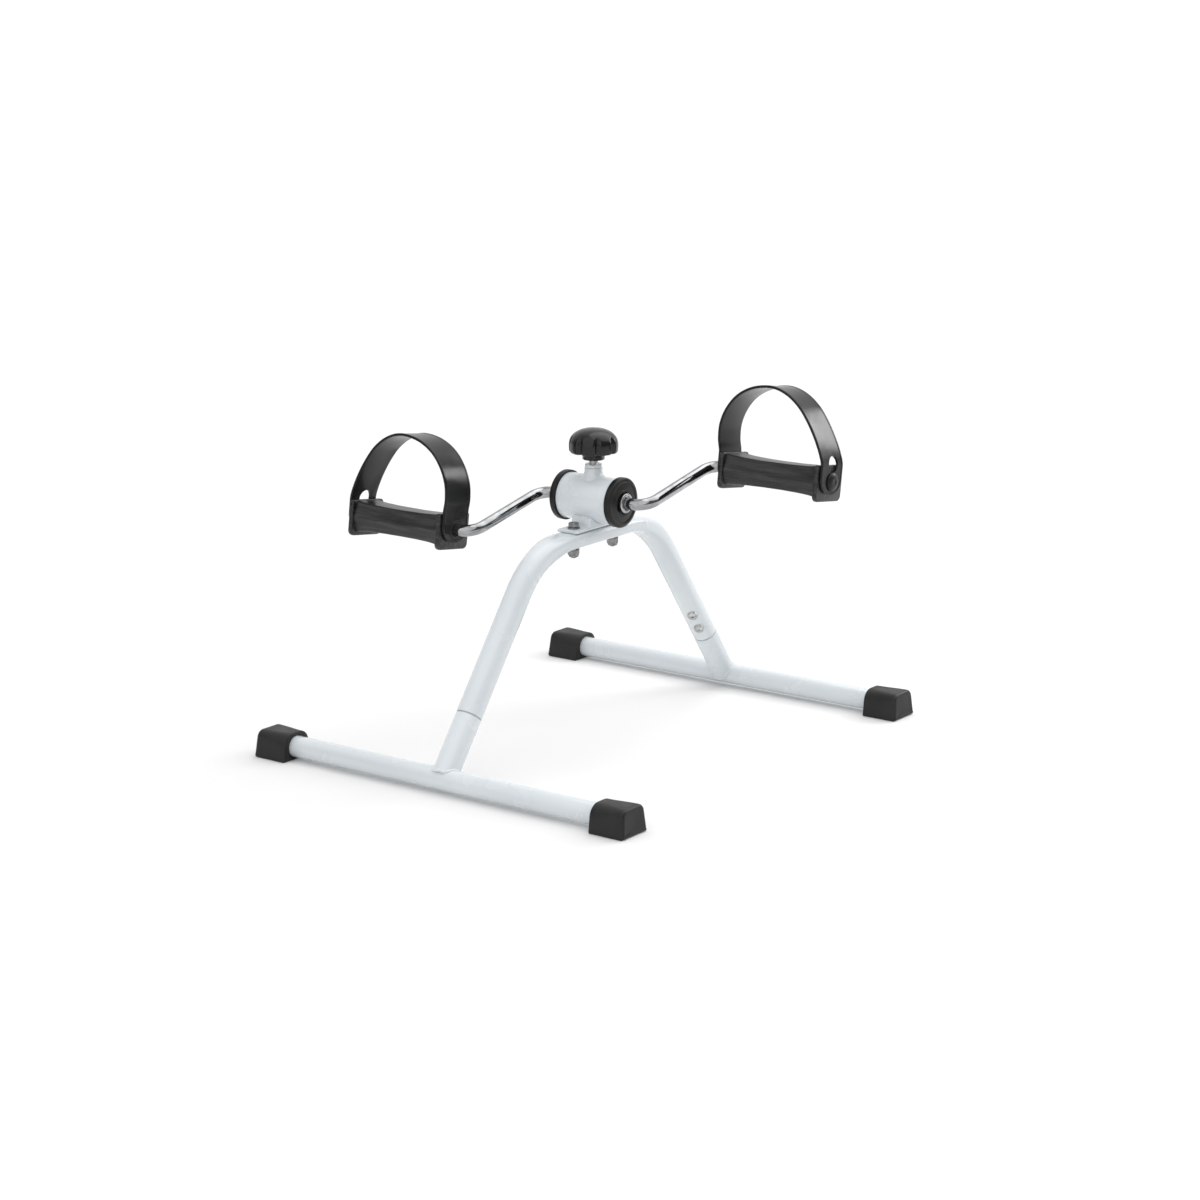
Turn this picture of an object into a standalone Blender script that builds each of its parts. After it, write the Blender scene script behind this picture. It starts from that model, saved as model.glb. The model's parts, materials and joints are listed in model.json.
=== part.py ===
"""Pedal exerciser: an arched tube frame on two floor tubes, with a hub, a cranked axle and two strap pedals.

Metres, +Z up, the floor at z = 0. X runs along the crank axle, Y from the front floor tube to the rear one.
"""
import math

import bpy
import bmesh
from mathutils import Matrix, Vector

MM = 0.001
GAP = 0.3 * MM                      # clearance left between touching pieces

# Floor tubes, rubber feet and leg stubs
FLOOR_TUBE_R = 11.1 * MM
TUBE_WALL = 1.5 * MM
AXLE_OFFSET_Y = 249.0 * MM          # floor tube axes lie at y = -/+ this
FLOOR_TUBE_Z = 13.2 * MM
FOOT_END_X = 230.0 * MM             # outer end of each rubber foot
FOOT_LENGTH = 40.0 * MM
FOOT_HALF_WIDTH = 20.5 * MM
FOOT_HEIGHT = 28.0 * MM
FOOT_TOP_HALF_WIDTH = 17.2 * MM      # where the leaning sides would meet the top
FOOT_CORNER_R = 7.0 * MM
FOOT_TREAD = 3.0 * MM               # height of the upright band above the sole
FOOT_END_WALL = 5.0 * MM
FOOT_END_LEAN = 2.0 * MM            # how far the outer end leans in at the top

# Arch tube
LEG_SLOPE = 0.748                   # run along Y for each unit of height
ARCH_R = 13.2 * MM
ARCH_Z = 215.5 * MM                 # centreline height of the level top
BEND_R = 96.0 * MM
FLAT_HALF_HEIGHT = 7.8 * MM         # the top is pressed flat where the hub is bolted on
FLAT_HALF_WIDTH = 15.6 * MM
FLAT_HALF_LENGTH = 46.0 * MM
FLAT_REAR_EXTRA = 18.0 * MM         # the pressing reaches this much further at the rear
FLAT_FADE = 58.0 * MM              # length over which the tube returns to round
JOINT_Z = 68.0 * MM                 # centreline height where the arch meets a leg stub
SPIGOT_R = 11.3 * MM
SPIGOT_LENGTH = 55.0 * MM
LEG_SCREW_STEPS = (20.0 * MM, 41.0 * MM)   # distances above the joint, along the leg
LEG_SCREW_TURN = math.radians(30.0)        # round the leg from its inner side
LEG_SCREW_R = 2.3 * MM
LEG_SCREW_HEAD_R = 5.6 * MM
LEG_SCREW_HEAD_HEIGHT = 2.9 * MM
STUB_FOOT_STEP = 6.0 * MM           # where a leg stub starts, before its saddle cut, from the floor tube
REACH = 40.0 * MM                   # how far cutting tools run past the piece they cut

# Hub
HUB_Z = 252.0 * MM
BARREL_R = 23.8 * MM
BARREL_BORE_R = 20.8 * MM
BARREL_HALF = 30.9 * MM
CAP_R = 25.9 * MM
CAP_THICKNESS = 7.2 * MM
CAP_SPIGOT_R = 20.4 * MM
CAP_SPIGOT_LENGTH = 7.0 * MM
SADDLE_HALF_WIDTH = 12.0 * MM
SADDLE_HALF_LENGTH = 46.0 * MM
SADDLE_PLATE = 3.0 * MM
CRADLE_HALF = 17.5 * MM
BOLT_Y = 34.0 * MM
BOLT_R = 3.0 * MM
HEX_R = 5.9 * MM                    # corner radius of the bolt heads
WASHER_R = 6.4 * MM
WASHER_THICKNESS = 1.2 * MM
BOLT_END_Z = 195.8 * MM
NUT_HEIGHT = 9.0 * MM
NUT_R = 6.6 * MM
BOLT_HEAD_HEIGHT = 4.2 * MM

# Resistance screw and brake
BOSS_R = 9.3 * MM
BOSS_BORE_R = 7.1 * MM
BOSS_BOTTOM_Z = 269.5 * MM
BOSS_TOP_Z = 284.5 * MM
BOSS_NUT_R = 9.8 * MM
BOSS_NUT_HEIGHT = 3.5 * MM
SCREW_R = 4.75 * MM
SCREW_BOTTOM_Z = 277.6 * MM
SHOE_R = 6.6 * MM
SHOE_BOTTOM_Z = 273.7 * MM
SHOE_TOP_Z = 277.3 * MM
PAD_BOTTOM_Z = 270.4 * MM
DRUM_R = 15.0 * MM
DRUM_HALF = 12.0 * MM
KNOB_BOTTOM_Z = 293.0 * MM
KNOB_COLLAR_R = 11.6 * MM
KNOB_SKIRT_Z = 300.3 * MM
KNOB_R = 25.3 * MM
KNOB_TOP_Z = 325.7 * MM
KNOB_LOBES = 8
KNOB_SEGMENTS = 48
FLUTE_DEPTH = 0.09                  # of the knob's radius
KNOB_SOCKET_DEPTH = 9.0 * MM        # how far the screw enters the knob

# Crank
ROD_R = 6.0 * MM
CRANK_R = 111.0 * MM
CRANK_ANGLE = math.radians(76.2)    # from straight up towards +Y, right-hand arm
CRANK_STUB_X = 66.0 * MM
CRANK_ARM_X = 73.0 * MM
CRANK_BEND_R = 17.0 * MM
SPINDLE_END_X = 203.0 * MM
ROD_BORE_R = 6.35 * MM
COLLAR_R = 10.2 * MM
COLLAR_WIDTH = 3.4 * MM

# Pedals, in their own frame: X outwards along the spindle, Y across the foot, Z up
PEDAL_TILT = math.radians(-8.0)
PEDAL_INNER_X = 97.0 * MM
PEDAL_OUTER_X = 216.3 * MM
PLATE_THICKNESS = 5.0 * MM
PLATE_HALF_WIDTH = 24.3 * MM
PLATE_TOP = 16.6 * MM
PLATE_BOTTOM = -20.6 * MM
PLATE_CORNER_R = 6.0 * MM
BLOCK_RIDGE = 21.5 * MM
BLOCK_FLAT = 17.5 * MM
BLOCK_RIDGE_Z = -1.5 * MM
BLOCK_TOP = 15.8 * MM
BLOCK_BOTTOM = -16.6 * MM
BLOCK_WAIST = 0.16                  # how much slimmer the block is at mid-length
STRAP_THICKNESS = 2.4 * MM
STRAP_WIDTH = 40.0 * MM
STRAP_CENTRE_Y = -1.5 * MM
STRAP_LEAN = {-1: 0.05, 1: 0.11}    # forward shift for each unit of height, left and right
STRAP_RISE = {-1: 1.0, 1: 0.98}     # each soft strap has taken a slightly different height
STRAP_FOOT_Z = -13.0 * MM
STRAP_RISE_Z = 17.5 * MM            # the strap leaves the plates above this height
STRAP_HOLE_R = 8.6 * MM
STRAP_HOLE_Z = 17.4 * MM
STRAP_BEND = ((92.6, 31.0), (94.1, 47.0), (101.0, 63.2), (113.0, 77.6), (129.0, 87.2), (146.0, 91.4),
              (161.0, 91.0), (176.0, 85.2), (189.5, 74.6), (200.4, 60.4), (209.6, 44.2), (216.0, 29.0))
BUTTON_R = 9.6 * MM
BUTTON_STEM_R = 4.5 * MM
BUTTON_HEIGHT = 3.4 * MM
BUSH_FLANGE_R = 10.2 * MM
BUSH_R = 8.6 * MM
BUSH_LENGTH = 16.0 * MM
CLIP_R = 9.8 * MM
CLIP_POCKET = 13.0 * MM


# ---------------------------------------------------------------- helpers

def clear_scene():
    for obj in list(bpy.data.objects):
        bpy.data.objects.remove(obj, do_unlink=True)


def make_collection(name):
    collection = bpy.data.collections.new(name)
    bpy.context.scene.collection.children.link(collection)
    return collection


clear_scene()
PARTS = make_collection("pedal_exerciser")
CUTTERS = make_collection("cutters")


def make_material(name, colour, roughness, metallic=0.0):
    material = bpy.data.materials.new(name)
    material.use_nodes = True
    shader = material.node_tree.nodes["Principled BSDF"]
    shader.inputs["Base Color"].default_value = (*colour, 1.0)
    shader.inputs["Roughness"].default_value = roughness
    shader.inputs["Metallic"].default_value = metallic
    material.diffuse_color = (*colour, 1.0)
    return material


WHITE_PAINT = ("white_paint", (0.74, 0.78, 0.81), 0.32, 0.0)
BLACK_RUBBER = ("black_rubber", (0.022, 0.022, 0.023), 0.72, 0.0)
BLACK_PLASTIC = ("black_plastic", (0.02, 0.02, 0.022), 0.42, 0.0)
GLOSS_PLASTIC = ("gloss_plastic", (0.009, 0.009, 0.01), 0.16, 0.0)
WHITE_NYLON = ("white_nylon", (0.72, 0.71, 0.67), 0.5, 0.0)
CHROME = ("chrome", (0.78, 0.79, 0.8), 0.09, 1.0)
ZINC = ("zinc", (0.58, 0.59, 0.6), 0.3, 1.0)
STEEL = ("steel", (0.46, 0.46, 0.47), 0.38, 1.0)
FELT = ("felt", (0.16, 0.12, 0.08), 0.95, 0.0)


def finish_object(obj, look, collection=None, sharp=35.0):
    """Names the material after the piece, moves the object into its collection and shades it."""
    for owner in list(obj.users_collection):
        owner.objects.unlink(obj)
    (collection or PARTS).objects.link(obj)
    if look is not None:
        obj.data.materials.clear()
        obj.data.materials.append(make_material(f"{obj.name}_{look[0]}", *look[1:]))
    obj.data.shade_smooth()
    obj.data.set_sharp_from_angle(angle=math.radians(sharp))
    return obj


def object_from_bmesh(name, bm, look, collection=None, sharp=35.0):
    mesh = bpy.data.meshes.new(name)
    bm.to_mesh(mesh)
    bm.free()
    obj = bpy.data.objects.new(name, mesh)
    bpy.context.scene.collection.objects.link(obj)
    return finish_object(obj, look, collection, sharp)


def axis_matrix(origin, direction):
    """A matrix whose local Z lies along direction, at origin."""
    turn = Vector(direction).normalized().to_track_quat("Z", "Y").to_matrix().to_4x4()
    return Matrix.Translation(Vector(origin)) @ turn


def turned(name, profile, look, origin=(0, 0, 0), direction=(0, 0, 1), segments=32, closed=False):
    """Turns a profile of (radius, height) points, outer side first and top to bottom, about a line."""
    mesh = bpy.data.meshes.new(name)
    points = [(radius, 0.0, height) for radius, height in profile]
    edges = [(i, i + 1) for i in range(len(points) - 1)]
    if closed:
        edges.append((len(points) - 1, 0))
    mesh.from_pydata(points, edges, [])
    obj = bpy.data.objects.new(name, mesh)
    bpy.context.scene.collection.objects.link(obj)
    obj.matrix_world = axis_matrix(origin, direction)
    screw = obj.modifiers.new("turn", "SCREW")
    screw.axis = "Z"
    screw.angle = 2.0 * math.pi
    screw.steps = segments
    screw.render_steps = segments
    screw.use_merge_vertices = True
    screw.merge_threshold = 0.00001
    screw.use_smooth_shade = True
    return bake(obj, name, look)


def bake(obj, name, look, collection=None, sharp=35.0):
    """Replaces an object by a welded mesh of what it evaluates to, in the same place."""
    bpy.context.view_layer.update()
    evaluated = obj.evaluated_get(bpy.context.evaluated_depsgraph_get())
    mesh = bpy.data.meshes.new_from_object(evaluated)
    bm = bmesh.new()
    bm.from_mesh(mesh)
    bmesh.ops.remove_doubles(bm, verts=bm.verts, dist=0.000005)
    bmesh.ops.recalc_face_normals(bm, faces=bm.faces)
    bm.to_mesh(mesh)
    bm.free()
    place = obj.matrix_world.copy()
    bpy.data.objects.remove(obj, do_unlink=True)
    result = bpy.data.objects.new(name, mesh)
    bpy.context.scene.collection.objects.link(result)
    result.matrix_world = place
    return finish_object(result, look, collection, sharp)


def pipe(name, outer_r, inner_r, start, end, look, origin=(0, 0, 0), direction=(0, 0, 1), segments=32):
    """A round tube between two distances along a line."""
    profile = [(outer_r, end), (outer_r, start), (inner_r, start), (inner_r, end)]
    return turned(name, profile, look, origin, direction, segments, closed=True)


def cylinder(name, radius, start, end, look, origin=(0, 0, 0), direction=(0, 0, 1), segments=32,
             collection=None):
    """A closed cylinder or prism between two distances along a line."""
    bm = bmesh.new()
    bmesh.ops.create_cone(bm, cap_ends=True, segments=segments, radius1=radius, radius2=radius,
                          depth=end - start)
    bmesh.ops.translate(bm, verts=bm.verts, vec=(0, 0, (start + end) / 2.0))
    obj = object_from_bmesh(name, bm, look, collection)
    obj.matrix_world = axis_matrix(origin, direction)
    return obj


def cutter(name, radius, start, end, origin=(0, 0, 0), direction=(0, 0, 1), segments=24):
    obj = cylinder(name, radius, start, end, None, origin, direction, segments, CUTTERS)
    obj.hide_render = True
    obj.display_type = "WIRE"
    return obj


def boolean(obj, tool, operation="DIFFERENCE"):
    modifier = obj.modifiers.new(f"{operation.lower()}_{tool.name}", "BOOLEAN")
    modifier.operation = operation
    modifier.object = tool
    modifier.solver = "EXACT"


def union_tool(tool):
    """Turns a cylinder into a hidden tool that a union reads."""
    tool.hide_render = True
    tool.display_type = "WIRE"
    return tool


def bevel(obj, width, segments=1, angle=40.0):
    modifier = obj.modifiers.new("rounded_edges", "BEVEL")
    modifier.width = width
    modifier.segments = segments
    modifier.limit_method = "ANGLE"
    modifier.angle_limit = math.radians(angle)


def fillet(points, radii, steps=4):
    """Rounds the corners of a closed 2D outline; a radius of zero keeps the corner."""
    result = []
    count = len(points)
    for i, (point, radius) in enumerate(zip(points, radii)):
        corner = Vector(point)
        if radius <= 0.0:
            result.append(corner)
            continue
        back = (Vector(points[i - 1]) - corner).normalized()
        ahead = (Vector(points[(i + 1) % count]) - corner).normalized()
        half = back.angle(ahead) / 2.0
        centre = corner + (back + ahead).normalized() * (radius / math.sin(half))
        first = corner + back * (radius / math.tan(half)) - centre
        last = corner + ahead * (radius / math.tan(half)) - centre
        turn = math.atan2(first.cross(last), first.dot(last))
        for k in range(steps + 1):
            result.append(centre + Matrix.Rotation(turn * k / steps, 2) @ first)
    return result


def outline_solid(name, outline, thickness, look, place, sharp=35.0):
    """A flat outline given its thickness, centred on its plane; place maps the outline's frame."""
    curve = bpy.data.curves.new(name, "CURVE")
    curve.dimensions = "2D"
    curve.fill_mode = "BOTH"
    curve.extrude = thickness / 2.0
    spline = curve.splines.new("POLY")
    spline.points.add(len(outline) - 1)
    for node, point in zip(spline.points, outline):
        node.co = (point[0], point[1], 0.0, 1.0)
    spline.use_cyclic_u = True
    obj = bpy.data.objects.new(name, curve)
    bpy.context.scene.collection.objects.link(obj)
    obj.matrix_world = place
    return bake(obj, name, look, sharp=sharp)


def loft(name, rings, look, sharp=35.0):
    """Skins a row of point rings; a pair of cap faces closes it."""
    bm = bmesh.new()
    rows = [[bm.verts.new(point) for point in ring] for ring in rings]
    count = len(rows[0])
    for row, after in zip(rows, rows[1:]):
        for i in range(count):
            j = (i + 1) % count
            bm.faces.new((row[i], row[j], after[j], after[i]))
    bm.faces.new(list(reversed(rows[0])))
    bm.faces.new(rows[-1])
    bmesh.ops.recalc_face_normals(bm, faces=bm.faces)
    return object_from_bmesh(name, bm, look, sharp=sharp)


def axis_empty(name, origin, tilt=0.0):
    """An empty on a joint's axis, for the pieces that turn about it."""
    empty = bpy.data.objects.new(name, None)
    empty.empty_display_size = 0.03
    empty.matrix_world = Matrix.Translation(Vector(origin)) @ Matrix.Rotation(tilt, 4, "X")
    PARTS.objects.link(empty)
    return empty


def ride_on(empty, objects):
    bpy.context.view_layer.update()
    for obj in objects:
        obj.parent = empty
        obj.matrix_parent_inverse = empty.matrix_world.inverted()


# ---------------------------------------------------------------- floor tubes, feet and legs

def leg_axis(side):
    """The unit direction of a leg from its floor tube upwards; side is -1 at the front, 1 at the rear."""
    return Vector((0.0, -side * LEG_SLOPE, 1.0)).normalized()


def floor_tube(name, side):
    half = FOOT_END_X - FOOT_END_WALL - GAP
    origin = (0.0, side * AXLE_OFFSET_Y, FLOOR_TUBE_Z)
    return pipe(name, FLOOR_TUBE_R, FLOOR_TUBE_R - TUBE_WALL, -half, half, WHITE_PAINT, origin, (1, 0, 0))


def foot_outline():
    """The foot's section across its floor tube: a flat sole, leaning sides and a rounded top."""
    right = [(FOOT_HALF_WIDTH, 0.0), (FOOT_HALF_WIDTH - GAP, FOOT_TREAD), (FOOT_TOP_HALF_WIDTH, FOOT_HEIGHT)]
    corners = [0.0, 0.0, FOOT_CORNER_R]
    points = right + [(-y, z) for y, z in reversed(right)]
    return fillet(points, corners + list(reversed(corners)))


def foot(name, side, end):
    """A rubber foot on one end of a floor tube; end is -1 at the left and 1 at the right."""
    centre_x = end * (FOOT_END_X - FOOT_LENGTH / 2.0)
    across = Matrix(((0, 0, 1, 0), (1, 0, 0, 0), (0, 1, 0, 0), (0, 0, 0, 1)))
    place = Matrix.Translation((centre_x, side * AXLE_OFFSET_Y, 0.0)) @ across
    obj = outline_solid(name, foot_outline(), FOOT_LENGTH, BLACK_RUBBER, place)
    for vertex in obj.data.vertices:
        if end * vertex.co.z > 0.0:
            vertex.co.z -= end * FOOT_END_LEAN * vertex.co.y / FOOT_HEIGHT
    bevel(obj, 1.4 * MM, 2, 55.0)
    mouth = FOOT_END_X - FOOT_LENGTH - FOOT_END_WALL
    origin = (0.0, side * AXLE_OFFSET_Y, FLOOR_TUBE_Z)
    direction = (end, 0.0, 0.0)
    boolean(obj, cutter(f"{name}_bore", FLOOR_TUBE_R + GAP, mouth, FOOT_END_X - FOOT_END_WALL, origin,
                        direction, 32))
    return obj


def leg_length():
    """Distance along a leg from the floor tube's axis to the joint with the arch."""
    return (JOINT_Z - FLOOR_TUBE_Z) * math.hypot(1.0, LEG_SLOPE)


def leg_stub(name, side):
    """A short tube from the floor tube, with a spigot inside the arch tube."""
    joint = leg_length() - GAP
    top = leg_length() + SPIGOT_LENGTH
    bore = SPIGOT_R - TUBE_WALL
    foot_end = STUB_FOOT_STEP
    profile = [(SPIGOT_R, top), (SPIGOT_R, joint), (ARCH_R, joint), (ARCH_R, foot_end), (bore, foot_end),
               (bore, top)]
    origin = Vector((0.0, side * AXLE_OFFSET_Y, FLOOR_TUBE_Z))
    obj = turned(name, profile, WHITE_PAINT, origin, leg_axis(side), 32, closed=True)
    boolean(obj, cutter(f"{name}_saddle", FLOOR_TUBE_R + GAP, -REACH, REACH, origin, (1, 0, 0), 32))
    for index, step in enumerate(LEG_SCREW_STEPS):
        start, inward = leg_screw_place(side, step)
        boolean(obj, cutter(f"{name}_hole_{index}", LEG_SCREW_R + GAP, 0.0, 20 * MM, start, inward, 16))
    return obj


def leg_screw_place(side, step):
    """The point on the leg's axis beside a screw, and the outward direction of its head."""
    axis = leg_axis(side)
    start = Vector((0.0, side * AXLE_OFFSET_Y, FLOOR_TUBE_Z)) + axis * (leg_length() + step)
    inner_side = Vector((0.0, -side * axis.z, side * axis.y))
    return start, Matrix.Rotation(LEG_SCREW_TURN, 3, axis) @ inner_side


def leg_screw(name, side, step):
    """A pan-head screw through the arch tube into the spigot, on the inner side of the leg."""
    start, outward = leg_screw_place(side, step)
    seat = ARCH_R + GAP
    inner = SPIGOT_R - TUBE_WALL - 1.5 * MM
    head = LEG_SCREW_HEAD_R
    height = LEG_SCREW_HEAD_HEIGHT
    profile = [(0.0, seat + height), (head * 0.55, seat + height * 0.9), (head, seat + height * 0.4),
               (head, seat), (LEG_SCREW_R, seat), (LEG_SCREW_R, inner), (0.0, inner)]
    return turned(name, profile, ZINC, start, outward, 20)


# ---------------------------------------------------------------- arch tube

def arch_stations():
    """Points along the arch's centreline as (y, z, tangent angle, flatness), front to rear."""
    climb = math.atan2(1.0, LEG_SLOPE)
    corner_y = AXLE_OFFSET_Y - LEG_SLOPE * (ARCH_Z - FLOOR_TUBE_Z)
    tangent = BEND_R * math.tan(climb / 2.0)
    level_half = corner_y - tangent
    bottom_y = AXLE_OFFSET_Y - LEG_SLOPE * (JOINT_Z - FLOOR_TUBE_Z)
    stations = [(-bottom_y, JOINT_Z + GAP, climb, 0.0)]
    centre_z = ARCH_Z - BEND_R
    bend_steps = 9
    for k in range(bend_steps + 1):
        slope = climb * (1.0 - k / bend_steps)
        y = -level_half - BEND_R * math.sin(slope)
        z = centre_z + BEND_R * math.cos(slope)
        stations.append((y, z, slope, flatness(y)))
    rear = [(-y, z, -slope, flatness(-y)) for y, z, slope, flat in reversed(stations)]
    middle = [(y, ARCH_Z, 0.0, 1.0) for y in (-FLAT_HALF_LENGTH, 0.0, FLAT_HALF_LENGTH)]
    return stations + middle + rear


def flatness(y):
    """0 where the tube is round, 1 where it is pressed flat, with a smooth change between."""
    reach = FLAT_HALF_LENGTH + (FLAT_REAR_EXTRA if y > 0.0 else 0.0)
    t = (abs(y) - reach) / FLAT_FADE
    t = min(max(t, 0.0), 1.0)
    return 1.0 - t * t * (3.0 - 2.0 * t)


def arch_section(station, wall, segments=28):
    y, z, slope, flat = station
    half_width = ARCH_R + (FLAT_HALF_WIDTH - ARCH_R) * flat - wall
    half_height = ARCH_R + (FLAT_HALF_HEIGHT - ARCH_R) * flat - wall
    power = 2.0 / (2.0 + 1.4 * flat)
    up = Vector((0.0, -math.sin(slope), math.cos(slope)))
    centre = Vector((0.0, y, z))
    points = []
    for k in range(segments):
        angle = 2.0 * math.pi * k / segments
        side = math.copysign(abs(math.cos(angle)) ** power, math.cos(angle))
        rise = math.copysign(abs(math.sin(angle)) ** power, math.sin(angle))
        points.append(centre + Vector((half_width * side, 0.0, 0.0)) + up * (half_height * rise))
    return points


def arch_tube(name):
    """The bent tube: an outer and an inner skin joined at both open ends, with bolt and screw holes."""
    stations = arch_stations()
    bm = bmesh.new()
    skins = []
    for wall in (0.0, TUBE_WALL):
        skins.append([[bm.verts.new(p) for p in arch_section(station, wall)] for station in stations])
    count = len(skins[0][0])
    for skin in skins:
        for row, after in zip(skin, skin[1:]):
            for i in range(count):
                j = (i + 1) % count
                bm.faces.new((row[i], row[j], after[j], after[i]))
    for end in (0, -1):
        outer = skins[0][end]
        inner = skins[1][end]
        for i in range(count):
            j = (i + 1) % count
            bm.faces.new((outer[i], outer[j], inner[j], inner[i]))
    bmesh.ops.recalc_face_normals(bm, faces=bm.faces)
    obj = object_from_bmesh(name, bm, WHITE_PAINT)
    for index, y in enumerate((-BOLT_Y, BOLT_Y)):
        boolean(obj, cutter(f"{name}_bolt_hole_{index}", BOLT_R + GAP, -20 * MM, 20 * MM, (0, y, ARCH_Z)))
    for side in (-1, 1):
        for index, step in enumerate(LEG_SCREW_STEPS):
            start, outward = leg_screw_place(side, step)
            hole = f"{name}_screw_hole_{side + 1}_{index}"
            boolean(obj, cutter(hole, LEG_SCREW_R + GAP, 0.0, 20 * MM, start, outward, 16))
    return obj


# ---------------------------------------------------------------- hub

def hub_barrel(name):
    obj = pipe(name, BARREL_R, BARREL_BORE_R, -BARREL_HALF, BARREL_HALF, WHITE_PAINT, (0, 0, HUB_Z), (1, 0, 0),
               48)
    boolean(obj, cutter(f"{name}_boss_hole", BOSS_R + GAP, 5 * MM, 40 * MM, (0, 0, HUB_Z), (0, 0, 1), 32))
    return obj


def hub_cap(name, end):
    """A plastic end cap: a rimmed disc with a spigot in the barrel and a plain bearing bore."""
    seat = BARREL_HALF + GAP
    face = seat + CAP_THICKNESS
    profile = [(CAP_R - 1.6 * MM, face), (CAP_R - 0.5 * MM, face - 0.5 * MM), (CAP_R, face - 1.7 * MM),
               (CAP_R, seat), (CAP_SPIGOT_R, seat), (CAP_SPIGOT_R, seat - CAP_SPIGOT_LENGTH),
               (ROD_BORE_R, seat - CAP_SPIGOT_LENGTH), (ROD_BORE_R, face)]
    return turned(name, profile, BLACK_PLASTIC, (0, 0, HUB_Z), (end, 0, 0), 48, closed=True)


def saddle_top():
    """Height of the saddle plate's upper face."""
    return ARCH_Z + FLAT_HALF_HEIGHT + GAP + SADDLE_PLATE


def hub_saddle(name):
    """A flat strap bolted to the arch, with a cradle under the barrel."""
    bottom = ARCH_Z + FLAT_HALF_HEIGHT + GAP
    top = saddle_top()
    arc_r = BARREL_R + GAP
    arc = []
    steps = 12
    reach = math.asin(CRADLE_HALF / arc_r)
    for k in range(steps + 1):
        angle = reach * (1.0 - 2.0 * k / steps)
        arc.append((arc_r * math.sin(angle), HUB_Z - arc_r * math.cos(angle)))
    shoulder = CRADLE_HALF + 3.0 * MM
    arc_end_z = arc[0][1]
    outline = [(-SADDLE_HALF_LENGTH, bottom), (SADDLE_HALF_LENGTH, bottom), (SADDLE_HALF_LENGTH, top),
               (shoulder + 1.5 * MM, top), (shoulder, arc_end_z - 1.0 * MM)]
    outline += arc
    outline += [(-shoulder, arc_end_z - 1.0 * MM), (-shoulder - 1.5 * MM, top), (-SADDLE_HALF_LENGTH, top)]
    across = Matrix(((0, 0, 1, 0), (1, 0, 0, 0), (0, 1, 0, 0), (0, 0, 0, 1)))
    obj = outline_solid(name, outline, 2.0 * SADDLE_HALF_WIDTH, WHITE_PAINT, across)
    for index, y in enumerate((-BOLT_Y, BOLT_Y)):
        boolean(obj, cutter(f"{name}_hole_{index}", BOLT_R + GAP, -12 * MM, 12 * MM, (0, y, top)))
    return obj


def hub_bolt(name, y):
    """A hexagon-head bolt down through the saddle and the arch."""
    seat = saddle_top() + GAP + WASHER_THICKNESS + GAP
    head = cylinder(name, HEX_R, seat, seat + BOLT_HEAD_HEIGHT, ZINC, (0, y, 0), segments=6)
    shank = cylinder(f"{name}_shank", BOLT_R, BOLT_END_Z, seat + BOLT_HEAD_HEIGHT / 2.0, None, (0, y, 0),
                     segments=20, collection=CUTTERS)
    boolean(head, union_tool(shank), "UNION")
    return head


def washer(name, y, low):
    return pipe(name, WASHER_R, BOLT_R + GAP, low, low + WASHER_THICKNESS, ZINC, (0, y, 0), segments=24)


def hex_nut(name, radius, bore, low, high, look, y=0.0):
    obj = cylinder(name, radius, low, high, look, (0, y, 0), segments=6)
    boolean(obj, cutter(f"{name}_thread", bore, low - 2 * MM, high + 2 * MM, (0, y, 0)))
    return obj


# ---------------------------------------------------------------- brake, screw and knob

def boss_sleeve(name):
    """The guide tube through the barrel's wall, with a flared foot on the barrel's top."""
    flare = HUB_Z + BARREL_R + GAP
    profile = [(BOSS_R, BOSS_TOP_Z), (BOSS_R, flare + 3.6 * MM), (BOSS_R + 1.9 * MM, flare + 1.0 * MM),
               (BOSS_R + 1.9 * MM, flare), (BOSS_R, flare), (BOSS_R, BOSS_BOTTOM_Z),
               (BOSS_BORE_R, BOSS_BOTTOM_Z), (BOSS_BORE_R, BOSS_TOP_Z)]
    return turned(name, profile, WHITE_PAINT, segments=32, closed=True)


def tension_screw(name):
    chamfer = 0.8 * MM
    top = KNOB_BOTTOM_Z + KNOB_SOCKET_DEPTH
    profile = [(0.0, top), (SCREW_R, top), (SCREW_R, SCREW_BOTTOM_Z + chamfer),
               (SCREW_R - chamfer, SCREW_BOTTOM_Z), (0.0, SCREW_BOTTOM_Z)]
    return turned(name, profile, STEEL, segments=24)


def knob_radius(height, angle):
    """The knob's radius at a height and a bearing: a dome with flutes around its skirt."""
    rise = (height - KNOB_SKIRT_Z) / (KNOB_TOP_Z - KNOB_SKIRT_Z)
    if rise < 0.0:
        return KNOB_COLLAR_R
    dome = KNOB_R * (1.0 - max(rise - 0.3, 0.0) ** 2.4 / 0.7 ** 2.4) ** 0.5
    lower_edge = 1.0 - 0.05 * max(0.0, 1.0 - rise / 0.12)
    flute = max(0.0, math.cos(KNOB_LOBES * angle)) ** 3
    strength = max(0.0, 1.0 - max(rise - 0.45, 0.0) / 0.4)
    return dome * lower_edge * (1.0 - FLUTE_DEPTH * flute * strength)


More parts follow.
